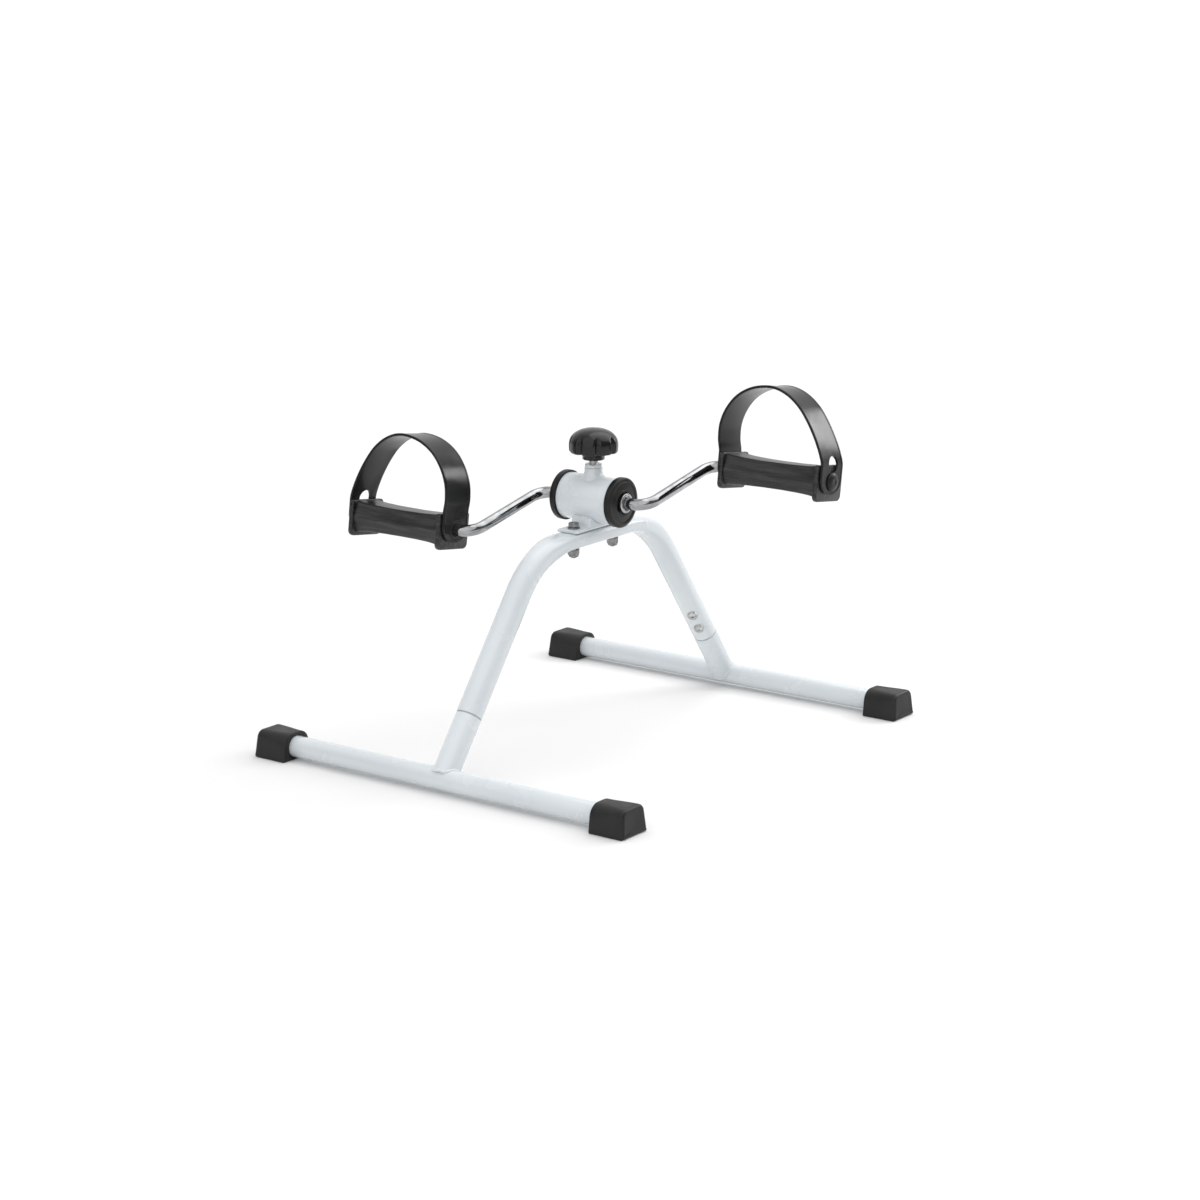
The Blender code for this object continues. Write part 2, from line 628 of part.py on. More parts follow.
def tension_knob(name):
    """A lobed knob, lofted between a round collar, a fluted skirt and a smooth dome."""
    height = KNOB_TOP_Z - KNOB_SKIRT_Z
    levels = [KNOB_SKIRT_Z + height * t for t in (0.0, 0.12, 0.45, 0.62, 0.76, 0.87, 0.95, 0.985)]
    rings = []
    for z, radius in ((KNOB_BOTTOM_Z, KNOB_COLLAR_R), (KNOB_SKIRT_Z, KNOB_COLLAR_R)):
        rings.append([(radius, z)] * KNOB_SEGMENTS)
    for z in levels:
        rings.append([(knob_radius(z, 2 * math.pi * k / KNOB_SEGMENTS), z) for k in range(KNOB_SEGMENTS)])
    skins = []
    for ring in rings:
        row = []
        for k, (radius, z) in enumerate(ring):
            angle = 2.0 * math.pi * k / KNOB_SEGMENTS
            row.append(Vector((radius * math.cos(angle), radius * math.sin(angle), z)))
        skins.append(row)
    obj = loft(name, skins, GLOSS_PLASTIC, sharp=50.0)
    boolean(obj, cutter(f"{name}_socket", SCREW_R + GAP, KNOB_BOTTOM_Z - REACH,
                        KNOB_BOTTOM_Z + KNOB_SOCKET_DEPTH + 2.0 * GAP))
    return obj


# ---------------------------------------------------------------- crank

def crank_point(x, radius, side):
    """A point of the crank at a distance from its axis; side is 1 for the right-hand arm."""
    return Vector((side * x, side * radius * math.sin(CRANK_ANGLE), HUB_Z + side * radius * math.cos(CRANK_ANGLE)))


def rounded_path(corners, radius, steps=7):
    """A polyline whose inner corners are replaced by arcs."""
    path = [corners[0]]
    for before, corner, after in zip(corners, corners[1:], corners[2:]):
        back = (before - corner).normalized()
        ahead = (after - corner).normalized()
        half = back.angle(ahead) / 2.0
        centre = corner + (back + ahead).normalized() * (radius / math.sin(half))
        first = corner + back * (radius / math.tan(half)) - centre
        normal = back.cross(ahead).normalized()
        turn = -(math.pi - 2.0 * half)
        for k in range(steps + 1):
            path.append(centre + Matrix.Rotation(turn * k / steps, 3, normal) @ first)
    path.append(corners[-1])
    return path


def crank_rod(name):
    """The one-piece cranked axle: spindle, arm, axle through the hub, arm and spindle."""
    corners = [crank_point(SPINDLE_END_X, CRANK_R, -1), crank_point(CRANK_ARM_X, CRANK_R, -1),
               crank_point(CRANK_STUB_X, 0.0, -1), crank_point(CRANK_STUB_X, 0.0, 1),
               crank_point(CRANK_ARM_X, CRANK_R, 1), crank_point(SPINDLE_END_X, CRANK_R, 1)]
    path = rounded_path(corners, CRANK_BEND_R)
    curve = bpy.data.curves.new(name, "CURVE")
    curve.dimensions = "3D"
    curve.bevel_depth = ROD_R
    curve.bevel_resolution = 4
    curve.use_fill_caps = True
    spline = curve.splines.new("POLY")
    spline.points.add(len(path) - 1)
    for node, point in zip(spline.points, path):
        node.co = (*point, 1.0)
    obj = bpy.data.objects.new(name, curve)
    bpy.context.scene.collection.objects.link(obj)
    return bake(obj, name, CHROME)


def crank_collar(name, end):
    start = BARREL_HALF + CAP_THICKNESS + 2.0 * GAP + GAP
    edge = 0.6 * MM
    profile = [(COLLAR_R - edge, start + COLLAR_WIDTH), (COLLAR_R, start + COLLAR_WIDTH - edge),
               (COLLAR_R, start), (ROD_BORE_R, start), (ROD_BORE_R, start + COLLAR_WIDTH)]
    return turned(name, profile, CHROME, (0, 0, HUB_Z), (end, 0, 0), 32, closed=True)


# ---------------------------------------------------------------- pedals

def block_section(x):
    """The pedal block's six-sided section at a distance along the spindle."""
    middle = (PEDAL_INNER_X + PEDAL_OUTER_X) / 2.0
    half = (PEDAL_OUTER_X - PEDAL_INNER_X) / 2.0 - PLATE_THICKNESS
    t = (x - middle) / half
    slim = 1.0 - BLOCK_WAIST * (1.0 - t * t)
    ridge = BLOCK_RIDGE * (1.0 - 0.4 * BLOCK_WAIST * (1.0 - t * t))
    flat = BLOCK_FLAT
    top = BLOCK_TOP * slim
    bottom = BLOCK_BOTTOM * slim
    return [(ridge, BLOCK_RIDGE_Z), (flat, top), (-flat, top), (-ridge, BLOCK_RIDGE_Z), (-flat, bottom),
            (flat, bottom)]


def pedal_block(name, end):
    """The foot bar, waisted at mid-length, bored for the spindle and pocketed for its clip."""
    start = PEDAL_INNER_X + PLATE_THICKNESS + GAP
    finish = PEDAL_OUTER_X - PLATE_THICKNESS - GAP
    steps = 8
    rings = []
    for k in range(steps + 1):
        x = start + (finish - start) * k / steps
        rings.append([Vector((end * x, y, z)) for y, z in block_section(x)])
    obj = loft(name, rings, BLACK_PLASTIC)
    bevel(obj, 0.9 * MM, 2, 28.0)
    direction = (end, 0.0, 0.0)
    boolean(obj, cutter(f"{name}_bore", ROD_BORE_R, 60 * MM, 240 * MM, (0, 0, 0), direction))
    boolean(obj, cutter(f"{name}_bush_seat", BUSH_R + GAP, 60 * MM, PEDAL_INNER_X + BUSH_LENGTH + GAP,
                        (0, 0, 0), direction))
    boolean(obj, cutter(f"{name}_clip_pocket", CLIP_R + 0.8 * MM, PEDAL_OUTER_X - PLATE_THICKNESS - CLIP_POCKET,
                        240 * MM, (0, 0, 0), direction))
    return obj


def pedal_plate(name, end, inner):
    """An end plate with rounded lower corners and a hole on the spindle's axis."""
    width = PLATE_HALF_WIDTH
    corners = [(width, PLATE_TOP), (-width, PLATE_TOP), (-width, PLATE_BOTTOM), (width, PLATE_BOTTOM)]
    radii = [2.5 * MM, 2.5 * MM, PLATE_CORNER_R, PLATE_CORNER_R]
    middle = PEDAL_INNER_X + PLATE_THICKNESS / 2.0
    if not inner:
        middle = PEDAL_OUTER_X - PLATE_THICKNESS / 2.0
    across = Matrix(((0, 0, 1, 0), (1, 0, 0, 0), (0, 1, 0, 0), (0, 0, 0, 1)))
    place = Matrix.Translation((end * middle, 0.0, 0.0)) @ across
    obj = outline_solid(name, fillet(corners, radii), PLATE_THICKNESS, BLACK_PLASTIC, place)
    bevel(obj, 0.8 * MM, 1, 60.0)
    hole = BUSH_R + GAP if inner else BUTTON_STEM_R + GAP
    boolean(obj, cutter(f"{name}_hole", hole, 60 * MM, 240 * MM, (0, 0, 0), (end, 0.0, 0.0)))
    return obj


def strap_path():
    """The strap's outer face, seen along the foot: up from one plate, over, and down the other."""
    inner = PEDAL_INNER_X - GAP - STRAP_THICKNESS
    outer = PEDAL_OUTER_X + GAP + STRAP_THICKNESS
    guides = [Vector((inner, STRAP_FOOT_Z)), Vector((inner, STRAP_RISE_Z))]
    guides += [Vector((x * MM, z * MM)) for x, z in STRAP_BEND]
    guides += [Vector((outer, STRAP_RISE_Z)), Vector((outer, STRAP_FOOT_Z))]
    path = [guides[0]]
    steps = 2
    for i in range(1, len(guides) - 2):
        before, a, b, after = guides[i - 1:i + 3]
        for k in range(steps):
            path.append(spline_point(before, a, b, after, k / steps))
    path.append(guides[-2])
    path.append(guides[-1])
    return path


def spline_point(before, a, b, after, t):
    """A point of the smooth curve that passes through a and b."""
    pull = (b - before) * 0.5
    push = (after - a) * 0.5
    return (a * (2 * t ** 3 - 3 * t ** 2 + 1) + pull * (t ** 3 - 2 * t ** 2 + t)
            + b * (3 * t ** 2 - 2 * t ** 3) + push * (t ** 3 - t ** 2))


def pedal_strap(name, end):
    """The foot strap: a wide ribbon given its thickness inwards, with a hole at each fixing."""
    bm = bmesh.new()
    half = STRAP_WIDTH / 2.0
    points = strap_path()
    near = []
    far = []
    for point in points:
        above = max(point.y - STRAP_RISE_Z, 0.0)
        centre = STRAP_CENTRE_Y - STRAP_LEAN[end] * above
        height = point.y - above * (1.0 - STRAP_RISE[end])
        near.append(bm.verts.new((end * point.x, centre - half, height)))
        far.append(bm.verts.new((end * point.x, centre + half, height)))
    for i in range(len(points) - 1):
        corners = [near[i], near[i + 1], far[i + 1], far[i]]
        bm.faces.new(corners if end > 0 else list(reversed(corners)))
    obj = object_from_bmesh(name, bm, BLACK_RUBBER)
    solid = obj.modifiers.new("thickness", "SOLIDIFY")
    solid.thickness = STRAP_THICKNESS
    solid.offset = -1.0
    solid.use_even_offset = True
    obj = bake(obj, name, BLACK_RUBBER)
    direction = (end, 0.0, 0.0)
    boolean(obj, cutter(f"{name}_spindle_hole", BUSH_FLANGE_R + GAP, 60 * MM, 120 * MM, (0, 0, 0), direction))
    boolean(obj, cutter(f"{name}_peg_hole", BUTTON_STEM_R + GAP, 190 * MM, 240 * MM, (0, 0, 0), direction))
    boolean(obj, cutter(f"{name}_adjusting_hole", STRAP_HOLE_R, 190 * MM, 240 * MM, (0, 0, STRAP_HOLE_Z),
                        direction))
    return obj


def strap_button(name, end):
    """A domed peg that holds the strap on the outer plate."""
    seat = PEDAL_OUTER_X + 2.0 * GAP + STRAP_THICKNESS
    inner = PEDAL_OUTER_X - PLATE_THICKNESS + GAP
    stem = BUTTON_STEM_R
    head = BUTTON_R
    profile = [(0.0, seat + BUTTON_HEIGHT), (head * 0.5, seat + BUTTON_HEIGHT * 0.86),
               (head * 0.86, seat + BUTTON_HEIGHT * 0.5), (head, seat + 0.6 * MM), (head, seat),
               (stem, seat), (stem, inner), (0.0, inner)]
    return turned(name, profile, BLACK_PLASTIC, (0, 0, 0), (end, 0, 0), 24)


def pedal_bush(name, end):
    """A flanged nylon bush in the inner plate."""
    flange_start = PEDAL_INNER_X - GAP - 2.4 * MM
    flange_end = PEDAL_INNER_X - GAP
    finish = PEDAL_INNER_X + BUSH_LENGTH
    profile = [(BUSH_R, finish), (BUSH_R, flange_end), (BUSH_FLANGE_R, flange_end),
               (BUSH_FLANGE_R, flange_start), (ROD_BORE_R, flange_start), (ROD_BORE_R, finish)]
    return turned(name, profile, BLACK_PLASTIC, (0, 0, 0), (end, 0, 0), 24, closed=True)


def spindle_clip(name, side):
    """A push-on ring near the spindle's end, in the block's pocket."""
    start = PEDAL_OUTER_X - PLATE_THICKNESS - CLIP_POCKET + 1.0 * MM
    origin = crank_point(0.0, CRANK_R, side)
    return pipe(name, CLIP_R, ROD_BORE_R, start, start + 1.5 * MM, ZINC, origin, (side, 0, 0), 20)


# ---------------------------------------------------------------- assembly

def build_frame():
    for place, side in (("front", -1), ("rear", 1)):
        floor_tube(f"{place}_floor_tube", side)
        leg_stub(f"{place}_leg_stub", side)
        for hand, end in (("left", -1), ("right", 1)):
            foot(f"{place}_{hand}_foot", side, end)
        for label, step in zip(("lower", "upper"), LEG_SCREW_STEPS):
            leg_screw(f"{place}_{label}_leg_screw", side, step)
    arch_tube("arch_tube")


def build_hub():
    hub_barrel("hub_barrel")
    hub_cap("hub_left_cap", -1)
    hub_cap("hub_right_cap", 1)
    hub_saddle("hub_saddle")
    under_arch = ARCH_Z - FLAT_HALF_HEIGHT - GAP - WASHER_THICKNESS
    for place, y in (("front", -BOLT_Y), ("rear", BOLT_Y)):
        hub_bolt(f"hub_{place}_bolt", y)
        washer(f"hub_{place}_upper_washer", y, saddle_top() + GAP)
        washer(f"hub_{place}_lower_washer", y, under_arch)
        hex_nut(f"hub_{place}_nut", NUT_R, BOLT_R + GAP, under_arch - GAP - NUT_HEIGHT, under_arch - GAP, ZINC, y)


def build_brake():
    boss_sleeve("boss_sleeve")
    low = BOSS_TOP_Z + GAP
    hex_nut("boss_nut", BOSS_NUT_R, SCREW_R + GAP, low, low + BOSS_NUT_HEIGHT, WHITE_PAINT)
    shoe = cylinder("brake_shoe", SHOE_R, SHOE_BOTTOM_Z, SHOE_TOP_Z, WHITE_NYLON, segments=24)
    pad = cylinder("brake_pad", SHOE_R, PAD_BOTTOM_Z, SHOE_BOTTOM_Z - GAP, FELT, segments=24)
    screw = tension_screw("tension_screw")
    knob = tension_knob("tension_knob")
    ride_on(axis_empty("knob_axis", (0, 0, SHOE_TOP_Z)), (shoe, pad, screw, knob))


def build_crank():
    rod = crank_rod("crank_rod")
    drum = pipe("friction_drum", DRUM_R, ROD_BORE_R, -DRUM_HALF, DRUM_HALF, STEEL, (0, 0, HUB_Z), (1, 0, 0))
    pieces = [rod, drum]
    for hand, side in (("left", -1), ("right", 1)):
        pieces.append(crank_collar(f"crank_{hand}_collar", side))
        pieces.append(spindle_clip(f"{hand}_spindle_clip", side))
    ride_on(axis_empty("crank_axis", (0, 0, HUB_Z)), pieces)


def build_pedal(hand, side):
    """Models a pedal about the world's origin, then moves it onto its spindle with its tilt."""
    pieces = [pedal_block(f"{hand}_pedal_block", side),
              pedal_plate(f"{hand}_pedal_inner_plate", side, True),
              pedal_plate(f"{hand}_pedal_outer_plate", side, False),
              pedal_strap(f"{hand}_pedal_strap", side),
              strap_button(f"{hand}_strap_button", side),
              pedal_bush(f"{hand}_pedal_bush", side)]
    tools = [m.object for piece in pieces for m in piece.modifiers if m.type == "BOOLEAN"]
    axis = axis_empty(f"{hand}_pedal_axis", (0, 0, 0))
    ride_on(axis, pieces + tools)
    axis.matrix_world = Matrix.Translation(crank_point(0.0, CRANK_R, side)) @ Matrix.Rotation(PEDAL_TILT, 4, "X")


build_frame()
build_hub()
build_brake()
build_crank()
build_pedal("left", -1)
build_pedal("right", 1)
bpy.context.view_layer.update()
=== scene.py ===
"""Pedal exerciser: the visual model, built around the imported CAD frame.

Metres, +Z up, floor at z = 0. X runs along the crank axle, Y from the front floor tube to the rear one.
"""
import json
from math import asin, atan2, copysign, cos, hypot, pi, radians, sin, sqrt, tan

import bmesh
import bpy
from mathutils import Matrix, Vector, noise

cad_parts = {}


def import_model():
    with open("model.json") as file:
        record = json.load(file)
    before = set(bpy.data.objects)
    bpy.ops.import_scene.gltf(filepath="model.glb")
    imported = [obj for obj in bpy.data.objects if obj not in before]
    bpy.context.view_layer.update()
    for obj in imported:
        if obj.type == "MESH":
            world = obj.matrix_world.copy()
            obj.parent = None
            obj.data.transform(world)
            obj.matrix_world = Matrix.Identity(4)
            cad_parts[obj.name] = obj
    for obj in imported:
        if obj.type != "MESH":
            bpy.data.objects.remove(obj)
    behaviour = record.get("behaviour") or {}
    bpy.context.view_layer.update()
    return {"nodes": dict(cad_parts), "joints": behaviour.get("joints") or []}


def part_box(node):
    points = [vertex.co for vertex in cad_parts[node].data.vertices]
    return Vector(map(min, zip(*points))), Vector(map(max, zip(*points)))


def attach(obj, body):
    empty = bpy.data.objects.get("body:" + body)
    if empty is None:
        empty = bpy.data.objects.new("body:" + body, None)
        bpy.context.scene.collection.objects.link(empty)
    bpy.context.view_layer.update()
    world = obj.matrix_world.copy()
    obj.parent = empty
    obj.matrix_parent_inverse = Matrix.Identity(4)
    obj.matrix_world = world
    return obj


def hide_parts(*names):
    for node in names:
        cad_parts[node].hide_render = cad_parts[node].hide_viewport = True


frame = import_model()

MM = 0.001
X_AXIS = Vector((1.0, 0.0, 0.0))
Z_AXIS = Vector((0.0, 0.0, 1.0))
SIDES = {"front": -1, "rear": 1}
HANDS = {"left": -1, "right": 1}


# Camera

CAMERA_AZIMUTH = radians(35.77)
CAMERA_ELEVATION = radians(13.83)
CAMERA_ROLL = radians(0.23)
CAMERA_TARGET = Vector((0.0035, 0.0074, 0.1438))
CAMERA_DISTANCE = 3.12
CAMERA_LENS = 90.5


def link(obj):
    bpy.context.scene.collection.objects.link(obj)


def make_camera():
    data = bpy.data.cameras.new("camera")
    data.lens = CAMERA_LENS
    data.sensor_width = 36.0
    data.clip_start = 0.05
    data.clip_end = 200.0
    camera = bpy.data.objects.new("camera", data)
    link(camera)
    level = cos(CAMERA_ELEVATION)
    back = Vector((sin(CAMERA_AZIMUTH) * level, -cos(CAMERA_AZIMUTH) * level, sin(CAMERA_ELEVATION)))
    turn = (-back).to_track_quat("-Z", "Y").to_matrix().to_4x4()
    roll = Matrix.Rotation(CAMERA_ROLL, 4, "Z")
    camera.matrix_world = Matrix.Translation(CAMERA_TARGET + back * CAMERA_DISTANCE) @ turn @ roll
    bpy.context.scene.camera = camera


# Materials

class Shader:
    """Builds one procedural material on a Principled BSDF."""

    def __init__(self, name):
        self.material = bpy.data.materials.new(name)
        self.material.use_nodes = True
        self.tree = self.material.node_tree
        self.bsdf = self.tree.nodes["Principled BSDF"]
        self.coords = self.add("ShaderNodeTexCoord").outputs["Object"]
        self.bump_normal = None

    def add(self, kind, inputs=None, **settings):
        """Makes a node. Each input takes a value, or another node's output."""
        made = self.tree.nodes.new(kind)
        for key, value in settings.items():
            setattr(made, key, value)
        for key, value in (inputs or {}).items():
            if isinstance(value, bpy.types.NodeSocket):
                self.tree.links.new(value, made.inputs[key])
            else:
                made.inputs[key].default_value = value
        return made

    def stretched(self, scale):
        return self.add("ShaderNodeMapping", {"Scale": scale, "Vector": self.coords}).outputs["Vector"]

    def noise(self, scale, detail=3.0, roughness=0.5, vector=None):
        inputs = {"Scale": scale, "Detail": detail, "Roughness": roughness, "Vector": vector or self.coords}
        return self.add("ShaderNodeTexNoise", inputs).outputs["Fac"]

    def spread(self, value, low, high, to_low=0.0, to_high=1.0):
        inputs = {"Value": value, "From Min": low, "From Max": high, "To Min": to_low, "To Max": to_high}
        return self.add("ShaderNodeMapRange", inputs).outputs["Result"]

    def math(self, operation, a, b):
        return self.add("ShaderNodeMath", {0: a, 1: b}, operation=operation).outputs["Value"]

    def mix(self, factor, first, second):
        """Mixes two colours, each a node's output or three numbers."""
        inputs = {"Factor": factor}
        for key, value in (("A", first), ("B", second)):
            inputs[key] = (*value, 1.0) if isinstance(value, tuple) else value
        return self.add("ShaderNodeMix", inputs, data_type="RGBA").outputs["Result"]

    def colour(self, value):
        self.tree.links.new(value, self.bsdf.inputs["Base Color"])

    def roughness(self, value):
        self.tree.links.new(value, self.bsdf.inputs["Roughness"])

    def fixed(self, **values):
        for key, value in values.items():
            self.bsdf.inputs[key.replace("_", " ")].default_value = value

    def bump(self, height, distance, strength=1.0):
        inputs = {"Height": height, "Distance": distance, "Strength": strength}
        if self.bump_normal is not None:
            inputs["Normal"] = self.bump_normal
        self.bump_normal = self.add("ShaderNodeBump", inputs).outputs["Normal"]
        self.tree.links.new(self.bump_normal, self.bsdf.inputs["Normal"])


def paint_material():
    """Pale blue-grey powder coat: orange peel, faint mottling and a few rubbed specks."""
    s = Shader("powder_coat")
    broad = s.spread(s.noise(7.0, 2.0), 0.35, 0.65)
    base = s.mix(broad, (0.655, 0.700, 0.728), (0.695, 0.738, 0.765))
    specks = s.spread(s.noise(160.0, 4.0, 0.62), 0.66, 0.74)
    base = s.mix(s.math("MULTIPLY", specks, 0.35), base, (0.42, 0.44, 0.45))
    s.colour(base)
    fine = s.noise(420.0, 2.0)
    rough = s.math("ADD", s.spread(s.noise(22.0, 4.0, 0.6), 0.3, 0.7, 0.20, 0.30),
                   s.math("MULTIPLY", specks, 0.2))
    s.roughness(rough)
    s.fixed(Coat_Weight=0.35, Coat_Roughness=0.12)
    s.bump(fine, 0.00006, 0.35)
    return s.material


def rubber_material():
    """Satin black rubber of the feet: fine grain, grey dust in patches."""
    s = Shader("foot_rubber")
    dust = s.spread(s.noise(45.0, 5.0, 0.65), 0.42, 0.72)
    base = s.mix(dust, (0.0095, 0.0090, 0.0088), (0.020, 0.019, 0.018))
    flecks = s.spread(s.noise(900.0, 2.0), 0.70, 0.76)
    s.colour(s.mix(s.math("MULTIPLY", flecks, 0.35), base, (0.06, 0.06, 0.06)))
    s.roughness(s.spread(dust, 0.0, 1.0, 0.42, 0.62))
    s.fixed(Specular_IOR_Level=0.34)
    s.bump(s.noise(1100.0, 2.0), 0.00008, 0.4)
    s.bump(s.noise(60.0, 3.0), 0.0004, 0.25)
    return s.material


def grained_material(name, grain, tint, dark, light, rough, bumps, stretch=None, scuffs=None, **fixed):
    """One noise, the grain, drives the colour and the roughness; scuffs gives the roughness its own.

    A noise is (scale, detail, roughness). tint is the part of the grain that runs from dark to light, and
    rough has the part and the two roughnesses it runs between. Each bump is (noise, distance, strength),
    where None stands for the grain itself.
    """
    s = Shader(name)
    texture = s.noise(*grain, s.stretched(stretch) if stretch else None)
    s.colour(s.mix(s.spread(texture, *tint) if tint else texture, dark, light))
    s.roughness(s.spread(s.noise(*scuffs) if scuffs else texture, *rough))
    s.fixed(**fixed)
    for relief, distance, strength in bumps:
        s.bump(s.noise(*relief) if relief else texture, distance, strength)
    return s.material


def zinc_material(name, dull, bright):
    """Zinc plate with a cloudy passivation."""
    return grained_material(name, (320.0, 4.0, 0.65), (0.35, 0.7), dull, bright, (0.3, 0.7, 0.22, 0.42),
                            [((900.0, 3.0), 0.00005, 0.4)], Metallic=1.0)


PAINT = paint_material()
RUBBER = rubber_material()

# Moulded black plastic with a drawn-out grain along the pedal.
PEDAL = grained_material("pedal_plastic", (1.0, 5.0, 0.62), (0.44, 0.66), (0.0058, 0.0056, 0.0054),
                         (0.0330, 0.0315, 0.0300), (0.3, 0.75, 0.24, 0.46),
                         [(None, 0.0013, 0.65), ((900.0, 2.0), 0.00006, 0.35)],
                         stretch=(22.0, 260.0, 260.0), Specular_IOR_Level=0.50)

# Soft black strap rubber: a smooth sheen, with handling marks.
STRAP = grained_material("strap_rubber", (38.0, 5.0, 0.6), (0.38, 0.72), (0.0050, 0.0048, 0.0046),
                         (0.0120, 0.0112, 0.0106), (0.3, 0.7, 0.14, 0.27),
                         [((750.0, 3.0, 0.6), 0.00009, 0.22), ((55.0, 2.0), 0.0006, 0.2)],
                         Specular_IOR_Level=0.26)

# Black nylon of the hub caps and bushes.
CAP = grained_material("cap_plastic", (70.0, 4.0, 0.6), (0.35, 0.7), (0.0062, 0.0060, 0.0060),
                       (0.0145, 0.0140, 0.0136), (0.3, 0.7, 0.30, 0.46),
                       [((1000.0, 2.0), 0.00006, 0.35)], Specular_IOR_Level=0.27)

# Glossy black knob with fine hairline scuffs.
KNOB = grained_material("knob_plastic", (90.0, 4.0, 0.6), (0.4, 0.7), (0.0050, 0.0048, 0.0046),
                        (0.0105, 0.0100, 0.0095), (0.35, 0.7, 0.14, 0.30),
                        [((120.0, 2.0), 0.0002, 0.2)], scuffs=(240.0, 5.0, 0.7), Specular_IOR_Level=0.40)

# Chrome plate: its colour is darkened and mottled as painted dark reflection, and its roughness varies as a
# faint polishing haze.
CHROME = grained_material("chrome_plate", (85.0, 4.0, 0.6), (0.3, 0.7), (0.26, 0.265, 0.27),
                          (0.44, 0.447, 0.455), (0.35, 0.75, 0.05, 0.13),
                          [((60.0, 2.0), 0.0004, 0.12)], Metallic=1.0)

ZINC = zinc_material("zinc_plate", (0.13, 0.134, 0.138), (0.38, 0.38, 0.372))
PALE_ZINC = zinc_material("pale_zinc_plate", (0.36, 0.365, 0.37), (0.66, 0.665, 0.655))
# Zinc made paler as painted light: it lifts the shade that the knob casts on the tension screw.
SHADE_LIFTED_ZINC = zinc_material("shade_lifted_zinc_plate", (0.66, 0.67, 0.68), (0.82, 0.82, 0.81))

# Bare turned steel with an oily tint.
STEEL = grained_material("turned_steel", (1.0, 3.0, 0.5), (0.3, 0.7), (0.30, 0.30, 0.31),
                         (0.46, 0.46, 0.45), (0.3, 0.7, 0.28, 0.5), [(None, 0.00005, 0.5)],
                         stretch=(1500.0, 120.0, 120.0), Metallic=1.0)

NYLON = grained_material("natural_nylon", (200.0, 3.0, 0.5), None, (0.62, 0.60, 0.54),
                         (0.74, 0.73, 0.68), (0.3, 0.7, 0.4, 0.6), [((700.0, 2.0), 0.00006, 0.4)])
FELT = grained_material("friction_felt", (1400.0, 4.0, 0.7), None, (0.08, 0.06, 0.04),
                        (0.24, 0.18, 0.12), (0.2, 0.8, 0.85, 1.0), [(None, 0.0004, 0.8)])


# Mesh helpers

STRAIGHT_HALF_ANGLE = radians(89.0)


def new_object(name, bm, sharp=40.0):
    bmesh.ops.remove_doubles(bm, verts=bm.verts, dist=0.000002)
    bmesh.ops.recalc_face_normals(bm, faces=bm.faces)
    mesh = bpy.data.meshes.new(name)
    bm.to_mesh(mesh)
    bm.free()
    obj = bpy.data.objects.new(name, mesh)
    link(obj)
    mesh.shade_smooth()
    mesh.set_sharp_from_angle(angle=radians(sharp))
    return obj


def grid_object(name, rows, closed=False, sharp=40.0):
    """Skins rows of points, each a closed ring. The rows close on themselves, or are capped at both ends."""
    bm = bmesh.new()
    made = [[bm.verts.new(point) for point in row] for row in rows]
    count = len(made[0])
    pairs = list(zip(made, made[1:]))
    if closed:
        pairs.append((made[-1], made[0]))
    for row, after in pairs:
        for i in range(count):
            j = (i + 1) % count
            bm.faces.new((row[i], row[j], after[j], after[i]))
    if not closed:
        bm.faces.new(list(reversed(made[0])))
        bm.faces.new(made[-1])
    return new_object(name, bm, sharp)


def frame_of(origin, direction):
    turn = Vector(direction).normalized().to_track_quat("Z", "Y").to_matrix().to_4x4()
    return Matrix.Translation(Vector(origin)) @ turn


def circle(count):
    return [2.0 * pi * k / count for k in range(count)]


def quarter(steps):
    return [pi / 2.0 * k / steps for k in range(steps + 1)]


def polar(radius, angle, z):
    return Vector((radius * cos(angle), radius * sin(angle), z))


def lathe(name, profile, origin, direction, segments, closed=False, sharp=40.0, radius_at=None):
    """Turns (radius, height) points about a line. radius_at may change the radius at each bearing."""
    placing = frame_of(origin, direction)
    rows = []
    for radius, height in profile:
        row = []
        for angle in circle(segments):
            r = radius if radius_at is None else radius_at(radius, height, angle)
            row.append(placing @ polar(r, angle, height))
        rows.append(row)
    return grid_object(name, rows, closed, sharp)


def rounded(profile, radii, steps=4):
    """Rounds the corners of a closed 2D outline; a radius of zero keeps the corner."""
    result = []
    for i, (point, radius) in enumerate(zip(profile, radii)):
        corner = Vector(point)
        back = (Vector(profile[i - 1]) - corner).normalized()
        ahead = (Vector(profile[(i + 1) % len(profile)]) - corner).normalized()
        half = back.angle(ahead) / 2.0 if radius > 0.0 else 0.0
        if radius <= 0.0 or half > STRAIGHT_HALF_ANGLE:
            result.append(corner)
            continue
        centre = corner + (back + ahead).normalized() * (radius / sin(half))
        first = corner + back * (radius / tan(half)) - centre
        last = corner + ahead * (radius / tan(half)) - centre
        turn = atan2(first.cross(last), first.dot(last))
        for k in range(steps + 1):
            result.append(centre + Matrix.Rotation(turn * k / steps, 2) @ first)
    return result


def inset_outline(outline, distance):
    """Moves a closed anticlockwise outline inwards."""
    moved = []
    count = len(outline)
    for i in range(count):
        tangent = (outline[(i + 1) % count] - outline[i - 1]).normalized()
        moved.append(outline[i] - Vector((tangent.y, -tangent.x)) * distance)
    return moved


def points(base, *pairs):
    """Radius and height pairs in millimetres, with the heights counted from a base in metres."""
    return [(radius * MM, base + height * MM) for radius, height in pairs]


def in_mm(*values):
    return [value * MM for value in values]


def smoothstep(t):
    t = min(max(t, 0.0), 1.0)
    return t * t * (3.0 - 2.0 * t)


